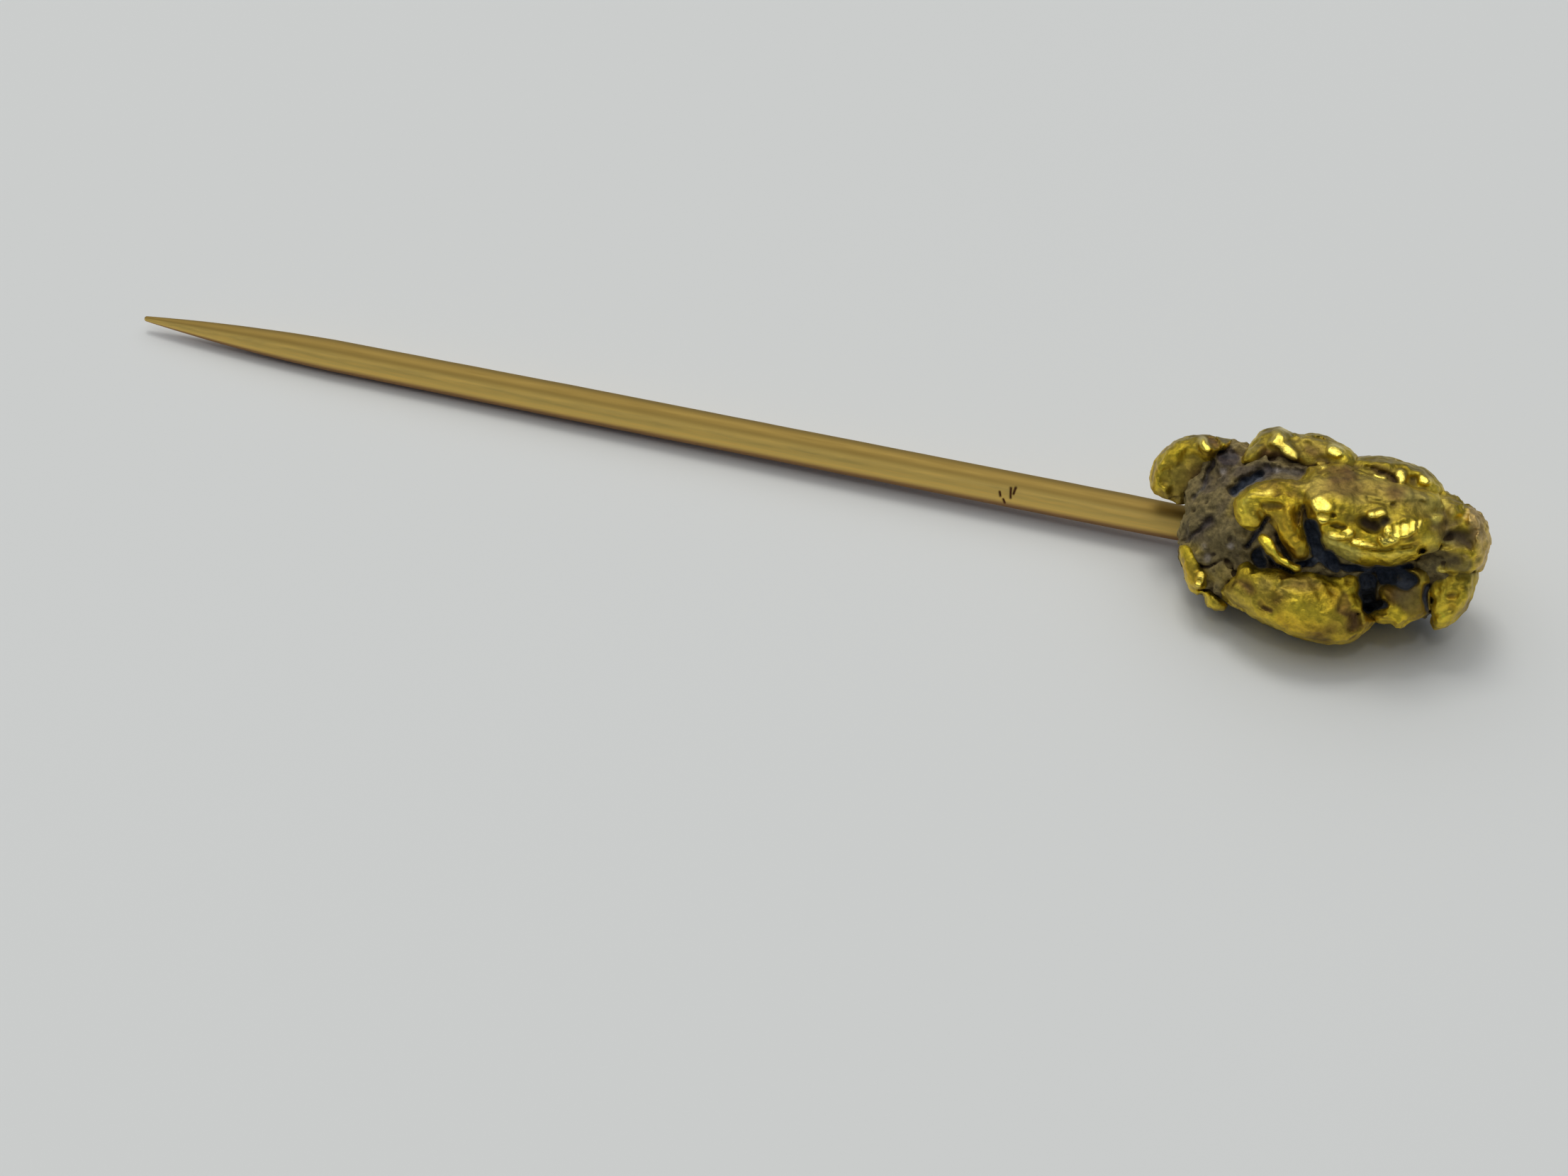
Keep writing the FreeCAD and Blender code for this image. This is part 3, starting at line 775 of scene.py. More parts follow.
def blur(volume, cells, passes=2):
    """Box blur, this many cells each way."""
    for _ in range(passes):
        for axis in range(3):
            padding = [(0, 0)] * 3
            padding[axis] = (cells + 1, cells)
            total = np.cumsum(np.pad(volume, padding, mode="edge"), axis=axis)
            high = np.take(total, range(2 * cells + 1, total.shape[axis]), axis=axis)
            low = np.take(total, range(0, total.shape[axis] - 2 * cells - 1), axis=axis)
            volume = (high - low) / (2 * cells + 1)
    return volume


# How much gold or rock is round each place: above a half in a hollow, below it on a ridge.
occupied = (union < 0.0).astype(np.float32)
WIDE_CAVITY = blur(occupied, 5)
FINE_CAVITY = blur(occupied, 2)


def sample(volume, points):
    """Trilinear look-up at grid index coordinates."""
    limit = np.array(volume.shape) - 2
    base = np.clip(np.floor(points).astype(int), 0, limit)
    part = np.clip(points - base, 0.0, 1.0)
    total = np.zeros(len(points), np.float32)
    for corner in range(2 ** points.shape[1]):
        bits = [(corner >> axis) & 1 for axis in range(points.shape[1])]
        weight = np.ones(len(points), np.float32)
        for axis, bit in enumerate(bits):
            weight *= part[:, axis] if bit else 1.0 - part[:, axis]
        index = tuple(base[:, axis] + bit for axis, bit in enumerate(bits))
        total += weight * volume[index]
    return total


# ---------------------------------------------------------------- colours on the surface

GOLD = (0.84, 0.625, 0.045)
OLIVE = (0.42, 0.31, 0.06)
BROWN = (0.15, 0.08, 0.025)
AMBER = (0.62, 0.37, 0.035)
# Painted highlight colour for the rubbed spots.
GLINT_PAINT_GOLD = (0.96, 0.76, 0.14)
GREEN = (0.78, 0.70, 0.17)
BRIGHT_GOLD = (1.0, 0.76, 0.07)
ROCK = (0.19, 0.145, 0.058)
# Painted shade colour for the floors of the deep gaps.
PAINTED_GAP_SHADE = (0.13, 0.15, 0.19)
ROCK_PLUM = (0.055, 0.042, 0.042)
# Dark patina colour, also painted as shade in enclosed hollows.
PATINA_AND_SHADE = (0.07, 0.04, 0.018)
ROCK_PALE = (0.48, 0.42, 0.38)
TAN = (0.62, 0.43, 0.18)

# Stains, bare stone and painted light and shade on the face: (colour, how metallic, strokes).
TONES = [
    # Olive on the upper folds, in the dish of the left lobe and along the belly: stain and painted
    # shade together.
    (OLIVE, 0.8, [
        ("flat", 0.7, 0.85, [(0.5, 1.4)]),
        ("flat", 0.5, 0.4, [(4.2, 1.3), (5.5, 1.4), (7.0, 1.2)]),
        ("flat", 0.6, 0.55, [(4.6, 1.1), (6.0, 1.0), (7.4, 0.9), (8.6, 0.6)]),
        ("flat", 0.3, 0.35, [(5.3, 0.5), (7.4, 0.2)]),
        ("flat", 0.5, 0.3, [(4.2, 2.6), (5.0, 2.3)]),
        ("flat", 0.6, 0.3, [(3.6, -2.15), (4.0, -2.0), (4.7, -2.0)]),
        ("round", 0.7, 0.35, [(2.95, -1.95), (3.1, -2.0)]),
    ]),
    # Brown in the dents, hollows and upper folds: stain and painted shade together.
    (BROWN, 0.6, [
        ("round", 0.35, 0.8, [(0.5, 1.35)]),
        ("round", 0.35, 0.5, [(5.0, 1.2), (6.5, 1.1), (8.0, 0.85)]),
        ("round", 0.4, 0.35, [(2.9, 1.12), (3.9, 1.15)]),
        ("round", 0.4, 0.5, [(4.3, -3.5), (4.9, -3.6)]),
        ("round", 0.6, 0.5, [(0.9, 1.5)]),
        ("round", 0.9, 0.28, [(1.25, 2.72), (1.45, 2.56)]),
        ("round", 0.5, 0.3, [(3.9, -2.0), (4.6, -1.95)]),
        ("round", 0.8, 0.2, [(5.52, -2.45), (5.48, -2.75)]),
        ("round", 0.6, 0.5, [(3.0, 2.1), (3.8, 2.0)]),
        ("round", 0.6, 0.3, [(4.4, 2.35), (4.9, 2.05)]),
        ("round", 0.8, 0.26, [(2.42, -2.0), (2.5, -2.15)]),
        ("round", 1.0, 0.16, [(2.92, -2.78), (3.22, -2.8)]),
        ("round", 1.0, 0.27, [(5.54, -2.3), (5.48, -2.8)]),
        ("round", 1.0, 0.36, [(5.86, -2.98), (5.86, -3.36)]),
        ("round", 0.7, 0.35, [(3.0, 2.05), (3.6, 2.05)]),
        ("round", 0.8, 0.2, [(2.95, 0.56), (3.45, 0.52)]),
        ("round", 0.8, 0.35, [(3.1, 0.0), (3.1, -0.3)]),
        ("round", 0.8, 0.25, [(4.25, 0.5), (4.15, 0.0)]),
        ("flat", 0.75, 0.6, [(7.2, -2.3), (7.9, -2.6)]),
        ("round", 0.7, 0.3, [(4.4, 1.7), (5.6, 1.75)]),
        ("round", 0.7, 0.25, [(9.3, -3.1), (9.55, -2.6)]),
        ("round", 0.7, 0.2, [(8.94, -2.36)]),
        ("round", 0.8, 0.25, [(6.45, 1.75), (7.0, 1.5)]),
        ("round", 0.7, 0.3, [(5.2, 1.5), (5.8, 1.5)]),
        ("round", 0.3, 0.45, [(5.2, 1.1), (5.8, 1.1)]),
        ("round", 0.5, 0.45, [(7.1, 0.98), (7.9, 0.82)]),
        ("round", 0.4, 0.4, [(5.4, -2.5), (5.6, -2.8)]),
    ]),
    (AMBER, 1.0, [
        ("round", 0.6, 0.7, [(5.0, -2.4)]),
        ("round", 0.5, 0.5, [(3.6, -3.1), (4.6, -3.4)]),
        ("round", 0.5, 0.4, [(0.5, -1.5), (0.7, -1.9)]),
        ("round", 0.5, 0.5, [(8.9, -2.6)]),
        ("round", 0.4, 0.5, [(3.6, 0.4), (3.9, -0.5)]),
    ]),
    (GREEN, 0.7, [
        ("flat", 0.75, 0.32, [(5.05, -0.55), (5.4, -0.95), (5.85, -1.0)]),
        ("round", 0.6, 0.3, [(8.45, 0.1)]),
        ("round", 0.3, 0.4, [(7.6, 0.9), (8.5, 0.6)]),
        ("round", 0.5, 0.24, [(8.1, -0.62), (8.9, -0.66)]),
        ("round", 0.5, 0.22, [(8.55, -1.55)]),
    ]),
    # Bright gold on the rims, the curl, the knobs and the lower belly: brighter gold and painted
    # light together.
    (BRIGHT_GOLD, 1.0, [
        ("round", 0.8, 0.45, [(5.5, 2.2)]),
        ("round", 0.8, 0.4, [(8.5, -2.1), (8.6, -3.0)]),
        ("round", 0.6, 0.3, [(8.2, -0.7), (8.9, -0.8)]),
        ("round", 0.8, 0.4, [(2.2, 0.7), (2.3, 0.1), (2.6, -0.3)]),
        ("round", 1.0, 0.3, [(2.95, -0.55), (3.4, -1.0), (4.0, -1.5)]),
        ("round", 0.4, 0.8, [(4.0, -2.8), (4.6, -2.9)]),
        ("round", 0.6, 0.3, [(8.2, 1.3), (8.5, 0.95)]),
    ]),
    (TAN, 0.9, [("flat", 0.7, 0.35, [(9.6, 0.3), (9.85, -0.2), (9.9, -0.8), (9.8, -1.3)])]),
    # Plum in the pits and dents: dark stone and painted shade together.
    (ROCK_PLUM, 0.1, [
        ("round", 1.0, 0.45, [(8.8, -0.38), (9.3, -0.5)]),
        ("round", 0.9, 0.3, [(6.15, 0.02), (6.5, -0.1), (6.85, 0.08)]),
        ("round", 0.9, 0.25, [(8.6, -1.28), (9.1, -1.25)]),
        ("round", 0.8, 0.2, [(8.57, -1.83)]),
    ]),
    (ROCK, 0.1, [
        ("flat", 0.5, 0.6, [(8.7, -0.2), (9.2, -0.5)]),
        ("flat", 0.85, 0.4, [(8.4, -1.2), (9.3, -1.3)]),
        ("flat", 0.6, 0.5, [(7.6, -2.4)]),
    ]),
]

# Bands in the host rock, and its pale crystals; the plum along the crevices and cracks is dark
# stone and painted shade together.
STONE_TONES = [
    (ROCK_PLUM, 0.0, [
        ("flat", 0.9, 0.34, [(1.65, 2.4), (1.95, 2.0)]),
        ("flat", 0.7, 0.3, [(2.2, 1.62), (3.0, 1.62)]),
        ("round", 0.6, 0.35, [(3.2, 1.66), (4.0, 1.66)]),
        ("round", 0.9, 0.26, [(0.7, -0.42), (1.22, 0.02)]),
        ("round", 0.7, 0.3, [(1.2, 1.5), (1.0, 1.1)]),
        ("round", 0.5, 0.4, [(1.5, 1.9), (1.7, 1.4)]),
    ]),
    (ROCK_PALE, 0.0, [
        ("round", 0.8, 0.14, [(1.86, -0.8)]),
        ("round", 0.8, 0.14, [(1.66, 1.68)]),
        ("round", 0.6, 0.16, [(3.35, 1.66)]),
        ("round", 0.5, 0.14, [(0.95, -0.85)]),
        ("round", 0.5, 0.14, [(1.15, -1.15)]),
    ]),
    (OLIVE, 0.5, [
        ("round", 0.5, 0.5, [(1.6, -1.7), (2.0, -2.3)]),
        ("round", 0.8, 0.2, [(0.5, -0.85), (0.85, -0.95)]),
        ("round", 0.6, 0.24, [(1.0, -1.5), (1.3, -1.9)]),
        ("round", 0.6, 0.2, [(1.95, 0.8), (1.8, 0.3)]),
    ]),
]

# Mottled stains all over: (colour, shares of lumps, dents, grain and pitting in the pattern,
# what is added to it, the most it can be, how strongly it tints).
GOLD_STAINS = [
    (OLIVE, (0.4, 0.5, 0.0, 0.0), 0.25, 0.85, 1.0),
    (AMBER, (-0.5, 0.0, 0.5, 0.0), 0.2, 0.6, 0.6),
    (BROWN, (0.0, 0.0, 0.6, 1.0), -0.35, 0.7, 0.75),
    (BROWN, (-0.3, 0.7, 0.5, 0.0), -0.25, 0.7, 0.8),
]
ROCK_STAINS = [
    (ROCK_PLUM, (0.0, -0.5, 0.8, 0.0), -0.1, 1.0, 0.7),
    (OLIVE, (0.0, 0.7, 0.3, 0.0), -0.35, 1.0, 0.45),
    (ROCK_PALE, (0.0, 0.0, 0.5, 1.0), -0.95, 1.0, 1.0),
]
# The rock is lighter on some lumps than on others.
ROCK_BRIGHTNESS, ROCK_CONTRAST = 1.08, 0.25
# Upward faces are painted darker: painted shade.
UPWARD_SHADE_START, UPWARD_SHADE_SPAN, UPWARD_SHADE_DEPTH = 0.58, 0.35, 0.58
# Masses whose gold is mixed with bands of stone, and how much.
STREAKED = {"right_cap": 0.8, "back_hump": 0.35, "under_lumps": 0.6}
UP_IN_NUGGET = NUGGET_AXES @ np.array([0.0, 0.0, 1.0])
# Drawn tones reach this far below the front (mm), fading over the second length.
TONE_DEPTH, TONE_FADE = 0.9, 0.4
# Bands of stone: shares of the streaks and dents in them, the most they can be, and how much
# less metallic they are.
BAND_STREAKS, BAND_DENTS, BAND_MOST, BAND_DULLING = 0.9, 0.3, 0.85, 0.7
# Dents thin or thicken a drawn tone by this share.
TONE_UNEVENNESS = 0.4
# Dark patina and painted shade fill places that are more enclosed than this. They build up at these
# rates in wide and in fine hollows, fine ones counting for less, and cover the gold by this share
# at most.
HOLLOW = 0.56
WIDE_RATE, FINE_RATE, FINE_SHARE, PATINA_AND_SHADE_COVER = 3.2, 2.5, 0.7, 0.85
# Painted shade: gaps deeper than this (mm) are painted dark bluish, fully this much deeper, and
# only where the place is enclosed too.
DARK_START, DARK_SPAN = 0.15, 0.55
DARK_HOLLOW, DARK_RATE = 0.4, 6.0
# How far the patina and painted shade hide the metal, and how much the grain breaks up a rubbed
# spot.
PATINA_AND_SHADE_ON_METAL = 0.9
POLISH_UNEVENNESS = 0.7
# How far rubbed spots are painted paler: a painted highlight.
GLINT_PAINT_SHARE = 0.85


def blend(colour, shade, share):
    """Move colours towards a shade by this share, in place."""
    colour += (np.array(shade) - colour) * share


def ramp(value, start, slope):
    """A share that rises from 0 at the start to 1."""
    return np.clip((value - start) * slope, 0.0, 1.0)


def add_streaks(name, points, dents, colour, metal):
    """Bands of stone in the gold."""
    pattern = BAND_STREAKS * sample(STREAKS, points)[:, None] + BAND_DENTS * dents
    band = np.clip(pattern, 0.0, BAND_MOST)
    blend(colour, ROCK, band * STREAKED[name])
    metal -= BAND_DULLING * band * STREAKED[name]


def tint_points(name, points, facing_up):
    """Base colour, metal share and polish for each point of a mass."""
    stone = name == "host_rock"
    plan = points[:, :2]
    level = GRID_LOW[2] + VOXEL * points[:, 2]
    in_front = np.clip((level - sample(FRONT, plan) + TONE_DEPTH) / TONE_FADE, 0.0, 1.0)[:, None]
    colour = np.tile(np.array(ROCK if stone else GOLD, np.float32), (len(points), 1))
    metal = np.full((len(points), 1), 0.0 if stone else 1.0, np.float32)
    patterns = [sample(volume, points) for volume in (LUMPS, DENTS, GRAIN, PITTING)]
    patterns = np.stack(patterns, axis=1)
    lumps, dents, grain = patterns[:, :1], patterns[:, 1:2], patterns[:, 2]
    for shade, shares, offset, most, strength in ROCK_STAINS if stone else GOLD_STAINS:
        blend(colour, shade, np.clip(patterns @ shares + offset, 0.0, most)[:, None] * strength)
    if stone:
        colour *= ROCK_BRIGHTNESS + ROCK_CONTRAST * lumps
    else:
        if name in STREAKED:
            add_streaks(name, points, dents, colour, metal)
        # Painted shade: faces that look upward are painted darker.
        colour *= 1.0 - UPWARD_SHADE_DEPTH * ramp(facing_up, UPWARD_SHADE_START, 1.0 / UPWARD_SHADE_SPAN)[:, None]
    for shade, share, strokes in STONE_TONES if stone else TONES:
        cover = np.clip(sample(stroke_map(strokes), plan), 0.0, 1.0)[:, None] * in_front
        cover = cover * np.clip(1.0 + TONE_UNEVENNESS * dents, 0.0, 1.0)
        blend(colour, shade, cover)
        metal += (share - metal) * cover
    # Painted shade together with dark patina: the more enclosed a place, the darker it is painted.
    hollow = sample(WIDE_CAVITY, points)[:, None]
    pinched = sample(FINE_CAVITY, points)[:, None]
    patina_and_shade = ramp(hollow, HOLLOW, WIDE_RATE) + ramp(pinched, HOLLOW, FINE_RATE) * FINE_SHARE
    patina_and_shade = np.clip(patina_and_shade, 0.0, 1.0)
    blend(colour, PATINA_AND_SHADE, patina_and_shade * PATINA_AND_SHADE_COVER)
    # Painted shade on the floors of the deep gaps.
    dark = ramp(sample(GAP_DEPTH, plan), DARK_START, 1.0 / DARK_SPAN)[:, None] * in_front
    dark = dark * ramp(hollow, DARK_HOLLOW, DARK_RATE)
    blend(colour, PAINTED_GAP_SHADE, dark)
    patina_and_shade = np.maximum(patina_and_shade, dark)
    metal *= 1.0 - PATINA_AND_SHADE_ON_METAL * patina_and_shade
    # Painted highlight: rubbed spots are painted a paler gold.
    polish = np.clip(sample(POLISH_AND_GLINT, plan), 0.0, 1.0) * in_front[:, 0]
    polish *= (1.0 - patina_and_shade[:, 0]) * np.clip(1.0 + POLISH_UNEVENNESS * grain, 0.0, 1.0)
    blend(colour, GLINT_PAINT_GOLD, polish[:, None] * GLINT_PAINT_SHARE)
    return np.clip(colour, 0.0, 1.0), np.clip(metal, 0.0, 1.0)[:, 0], polish


def show(mesh):
    """Smooth-shade a mesh and put it in the scene as an object of the same name."""
    mesh.validate()
    mesh.polygons.foreach_set("use_smooth", np.ones(len(mesh.polygons), bool))
    thing = bpy.data.objects.new(mesh.name, mesh)
    bpy.context.scene.collection.objects.link(thing)
    return thing


def mesh_object(name, places, faces):
    """A mesh object from arrays of places (m) and of faces with equal numbers of corners."""
    mesh = bpy.data.meshes.new(name)
    mesh.vertices.add(len(places))
    mesh.vertices.foreach_set("co", np.asarray(places, np.float32).ravel())
    mesh.loops.add(faces.size)
    mesh.loops.foreach_set("vertex_index", faces.astype(np.int32).ravel())
    mesh.polygons.add(len(faces))
    mesh.polygons.foreach_set("loop_start", np.arange(len(faces), dtype=np.int32) * faces.shape[1])
    mesh.update(calc_edges=True)
    return show(mesh)


def paint(thing, colour, **shares):
    """Store a tint and named shares, such as metal and polish, on a mesh's points."""
    tint = thing.data.attributes.new("tint", "FLOAT_COLOR", "POINT")
    rgba = np.concatenate([colour, np.ones((len(colour), 1))], axis=1)
    tint.data.foreach_set("color", rgba.astype(np.float32).ravel())
    for name, values in shares.items():
        stored = thing.data.attributes.new(name, "FLOAT", "POINT")
        stored.data.foreach_set("value", values.astype(np.float32))


# How readily flat bits of the rock's mesh are merged.
ROCK_MERGING = 0.08


def carve(name):
    """Turn a mass's field into a painted mesh."""
    cells = grid_window(name)
    if name == "main_fold":
        other = grid_window("main_fold_plate")
        cells = tuple(
            slice(min(a.start, b.start), max(a.stop, b.stop)) for a, b in zip(cells, other)
        )
    field = np.pad(fields[name][cells], 1, constant_values=FAR)
    grid = openvdb.FloatGrid(FAR)
    grid.copyFromArray(np.ascontiguousarray(field, dtype=np.float32))
    if name == "host_rock":
        local, corners, quads = grid.convertToPolygons(0.0, ROCK_MERGING)
        faces = np.concatenate([corners, quads[:, [0, 1, 2]], quads[:, [0, 2, 3]]])
    else:
        local, faces = grid.convertToQuads(0.0)
    points = local - 1.0 + np.array([axis.start for axis in cells])
    places = to_world(GRID_LOW + VOXEL * points)
    slopes = np.stack([sample(slope, local) for slope in np.gradient(field)], axis=1)
    facing_up = slopes @ UP_IN_NUGGET / (np.linalg.norm(slopes, axis=1) + 1e-6)
    thing = mesh_object(name + "_nugget", places, faces[:, ::-1])
    colour, metal, polish = tint_points(name, points, facing_up)
    paint(thing, colour, metal=metal, polish=polish)
    return thing


nugget = {name: carve(name) for name in PIECES}

# ---------------------------------------------------------------- materials


def node(tree, kind, **settings):
    """Add a node and set its inputs by name."""
    made = tree.nodes.new(kind)
    for key, value in settings.items():
        made.inputs[key.replace("_", " ")].default_value = value
    return made


def new_material(name):
    """A material with its node tree and its Principled shader."""
    material = bpy.data.materials.new(name)
    material.use_nodes = True
    return material, material.node_tree, material.node_tree.nodes["Principled BSDF"]


def stored(tree, name):
    """Read a value that is stored on the mesh's points."""
    made = tree.nodes.new("ShaderNodeAttribute")
    made.attribute_name = name
    return made


def remap(tree, source, low, high, start=0.3, end=0.7):
    """Carry a texture's usual range, start to end, to low to high."""
    settings = dict(From_Min=start, From_Max=end, To_Min=low, To_Max=high)
    made = node(tree, "ShaderNodeMapRange", **settings)
    tree.links.new(source, made.inputs["Value"])
    return made.outputs["Result"]


def shade_tint(tree, shader, texture, low, high):
    """Base colour: the stored tint, darker and lighter with a texture."""
    tinted = tree.nodes.new("ShaderNodeVectorMath")
    tinted.operation = "SCALE"
    tree.links.new(stored(tree, "tint").outputs["Color"], tinted.inputs[0])
    tree.links.new(remap(tree, texture, low, high), tinted.inputs["Scale"])
    tree.links.new(tinted.outputs["Vector"], shader.inputs["Base Color"])


def raise_texture(tree, shader, texture, strength, distance):
    """Fine relief from a texture, its distance in metres."""
    relief = node(tree, "ShaderNodeBump", Strength=strength, Distance=distance)
    tree.links.new(texture, relief.inputs["Height"])
    tree.links.new(relief.outputs["Normal"], shader.inputs["Normal"])


GRAIN_BUMP = 0.05 * MM


def nugget_material(name, rough_metal, rough_stone, rough_polish, bump, scale, contrast):
    """Gold or stone from the stored tint, metal share and polish, with fine grain."""
    material, tree, shader = new_material(name)
    shader.inputs["Specular IOR Level"].default_value = 0.25
    place = node(tree, "ShaderNodeTexCoord")
    grain = node(tree, "ShaderNodeTexNoise", Scale=scale, Detail=6.0, Roughness=0.6)
    tree.links.new(place.outputs["Object"], grain.inputs["Vector"])
    shade_tint(tree, shader, grain.outputs["Fac"], 1.0 - contrast, 1.0 + contrast)
    raise_texture(tree, shader, grain.outputs["Fac"], bump, GRAIN_BUMP)
    metal = stored(tree, "metal")
    tree.links.new(metal.outputs["Fac"], shader.inputs["Metallic"])
    rough = remap(tree, metal.outputs["Fac"], rough_stone, rough_metal, 0.0, 1.0)
    gloss = node(tree, "ShaderNodeMix", B=rough_polish)
    tree.links.new(stored(tree, "polish").outputs["Fac"], gloss.inputs["Factor"])
    tree.links.new(rough, gloss.inputs["A"])
    tree.links.new(gloss.outputs["Result"], shader.inputs["Roughness"])
    return material


gold_material = nugget_material(
    "nugget_gold", rough_metal=0.42, rough_stone=0.8, rough_polish=0.24, bump=0.8, scale=5200.0,
    contrast=0.3,
)
stone_material = nugget_material(
    "host_stone", rough_metal=0.5, rough_stone=0.9, rough_polish=0.5, bump=1.0, scale=6000.0,
    contrast=0.5,
)

for name, thing in nugget.items():
    thing.data.materials.append(stone_material if name == "host_rock" else gold_material)
    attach(thing, "root")
    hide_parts(name)

# ---------------------------------------------------------------- the wire

WIRE_LENGTH = 38.85
WIRE_RADIUS = 0.62
ROOT_LENGTH = 2.0
ROOT_RADIUS = 0.605
STRAIGHT_LENGTH = 22.0
POINT_LENGTH = 7.6
POINT_START_RADIUS = 0.58
POINT_BULGE = 90.0
TIP_RADIUS = 0.1
HIDDEN_LENGTH = 0.45
WIRE_SIDES = 144
RIPPLE = 0.0012
LINE_BUMP = 0.01 * MM
TO_TIP = -np.array([math.cos(WIRE_DIP), 0.0, math.sin(WIRE_DIP)])


def wire_radius(along):
    """The wire's radius at a distance from its entry towards the tip."""
    taper_end = WIRE_LENGTH - POINT_LENGTH
    tip_start = WIRE_LENGTH - TIP_RADIUS
    if along < ROOT_LENGTH:
        return ROOT_RADIUS + (WIRE_RADIUS - ROOT_RADIUS) * max(along, 0.0) / ROOT_LENGTH
    if along < STRAIGHT_LENGTH:
        return WIRE_RADIUS
    if along < taper_end:
        share = (along - STRAIGHT_LENGTH) / (taper_end - STRAIGHT_LENGTH)
        return WIRE_RADIUS + (POINT_START_RADIUS - WIRE_RADIUS) * share
    if along < tip_start:
        share = (along - taper_end) / (tip_start - taper_end)
        bulge = (tip_start - taper_end) ** 2 / (8.0 * POINT_BULGE)
        straight = POINT_START_RADIUS + (TIP_RADIUS - POINT_START_RADIUS) * share
        return straight + 4.0 * bulge * share * (1.0 - share)
    return math.sqrt(max(TIP_RADIUS**2 - (along - tip_start) ** 2, 1e-6))


# Small generic punch marks near the nugget: (distance from entry, height round the wire, mm).
NICKS = [
    [(6.1, -0.17), (6.06, -0.3)],
    [(5.95, -0.4), (5.9, -0.5)],
    [(5.74, 0.02), (5.7, -0.3)],
    [(5.58, 0.06), (5.62, -0.16)],
]
NICK_DEPTH = 0.045
NICK_WIDTH = 0.06
NICK_DIRT = (0.10, 0.03, 0.015)
# A height that keeps the far side of the wire out of reach of the marks.
FAR_ROUND = 9.0
# The wire is painted darker along its top and reddish-dark along its underside, as painted shade:
# (colour, steepness where it starts, steepness where it is full).
WIRE_BODY = (0.82, 0.59, 0.17)
WIRE_PAINTED_SHADES = [((0.30, 0.205, 0.055), 0.58, 0.88), ((0.42, 0.24, 0.10), 0.05, -0.4)]


def turned_faces(rings, sides):
    """Quads between rings of points, and a fan from each end ring to a point of its own."""
    index = np.arange(rings * sides).reshape(rings, sides)
    following = np.roll(index, -1, axis=1)
    corners = [index[:-1], following[:-1], following[1:], index[1:]]
    faces = np.stack(corners, axis=-1).reshape(-1, 4).tolist()
    first, last = rings * sides, rings * sides + 1
    faces += [(first, following[0, k], index[0, k]) for k in range(sides)]
    faces += [(last, index[-1, k], following[-1, k]) for k in range(sides)]
    return faces


def turned_object(name, rings, ends, inside_out=False):
    """A closed turned mesh from rings of places and its two end points, all in mm."""
    places = np.concatenate([rings.reshape(-1, 3), ends]) * MM
    faces = turned_faces(*rings.shape[:2])
    if inside_out:
        faces = [face[::-1] for face in faces]
    mesh = bpy.data.meshes.new(name)
    mesh.from_pydata(places.tolist(), [], faces)
    return show(mesh)


def wire_stations():
    """Distances from the entry to each ring, close together at the punch marks and the tip."""
    fine_start, fine_end = 5.3, 6.4
    near_step, fine_step, far_step = 0.1, 0.02, 0.12
    stations = list(np.arange(-HIDDEN_LENGTH, fine_start, near_step))
    stations += list(np.arange(fine_start, fine_end, fine_step))
    stations += list(np.arange(fine_end, WIRE_LENGTH - TIP_RADIUS, far_step))
    tip_rings = 8
    turns = [k * math.pi / (2 * tip_rings) for k in range(tip_rings)]
    stations += [WIRE_LENGTH - TIP_RADIUS * (1.0 - math.sin(turn)) for turn in turns]
    stations = np.array(stations)
    return stations[np.append(True, np.diff(stations) > 1e-3)]


def punch_marks(along, height):
    """How far each place lies in a punch mark, 0 to 1."""
    press = np.zeros(height.shape)
    for (start_along, start_height), (end_along, end_height) in NICKS:
        run, rise = end_along - start_along, end_height - start_height
        share = (along - start_along) * run + (height - start_height) * rise
        share = np.clip(share / (run**2 + rise**2), 0.0, 1.0)
        gap = np.hypot(along - start_along - share * run, height - start_height - share * rise)
        press = np.maximum(press, np.clip(1.0 - gap / NICK_WIDTH, 0.0, 1.0))
    return press


def ripple(along, angles):
    """Slight unevenness of a drawn wire."""
    random = np.random.RandomState(SEED)
    phases = enumerate(random.uniform(0.0, 2.0 * math.pi, 6))
    return sum(np.sin(along * (0.7 + 0.55 * k) + angles * (k % 3) + phase) for k, phase in phases)


def wire_tints(steepness, press):
    """The wire's tint at every point: painted shade along its top and its underside, grime in the
    punch marks.
    """
    tint = np.tile(np.array(WIRE_BODY), (len(steepness), 1))
    # Painted shade along the top and the underside of the wire.
    for shade, start, end in WIRE_PAINTED_SHADES:
        share = ramp(steepness, start, 1.0 / (end - start))[:, None]
        blend(tint, shade, share * share * (3.0 - 2.0 * share))
    tint = np.repeat(tint[None], len(press), axis=0)
    blend(tint, NICK_DIRT, np.clip(press * 1.4, 0.0, 1.0)[:, :, None])
    return np.concatenate([tint.reshape(-1, 3), [WIRE_BODY, WIRE_BODY]])


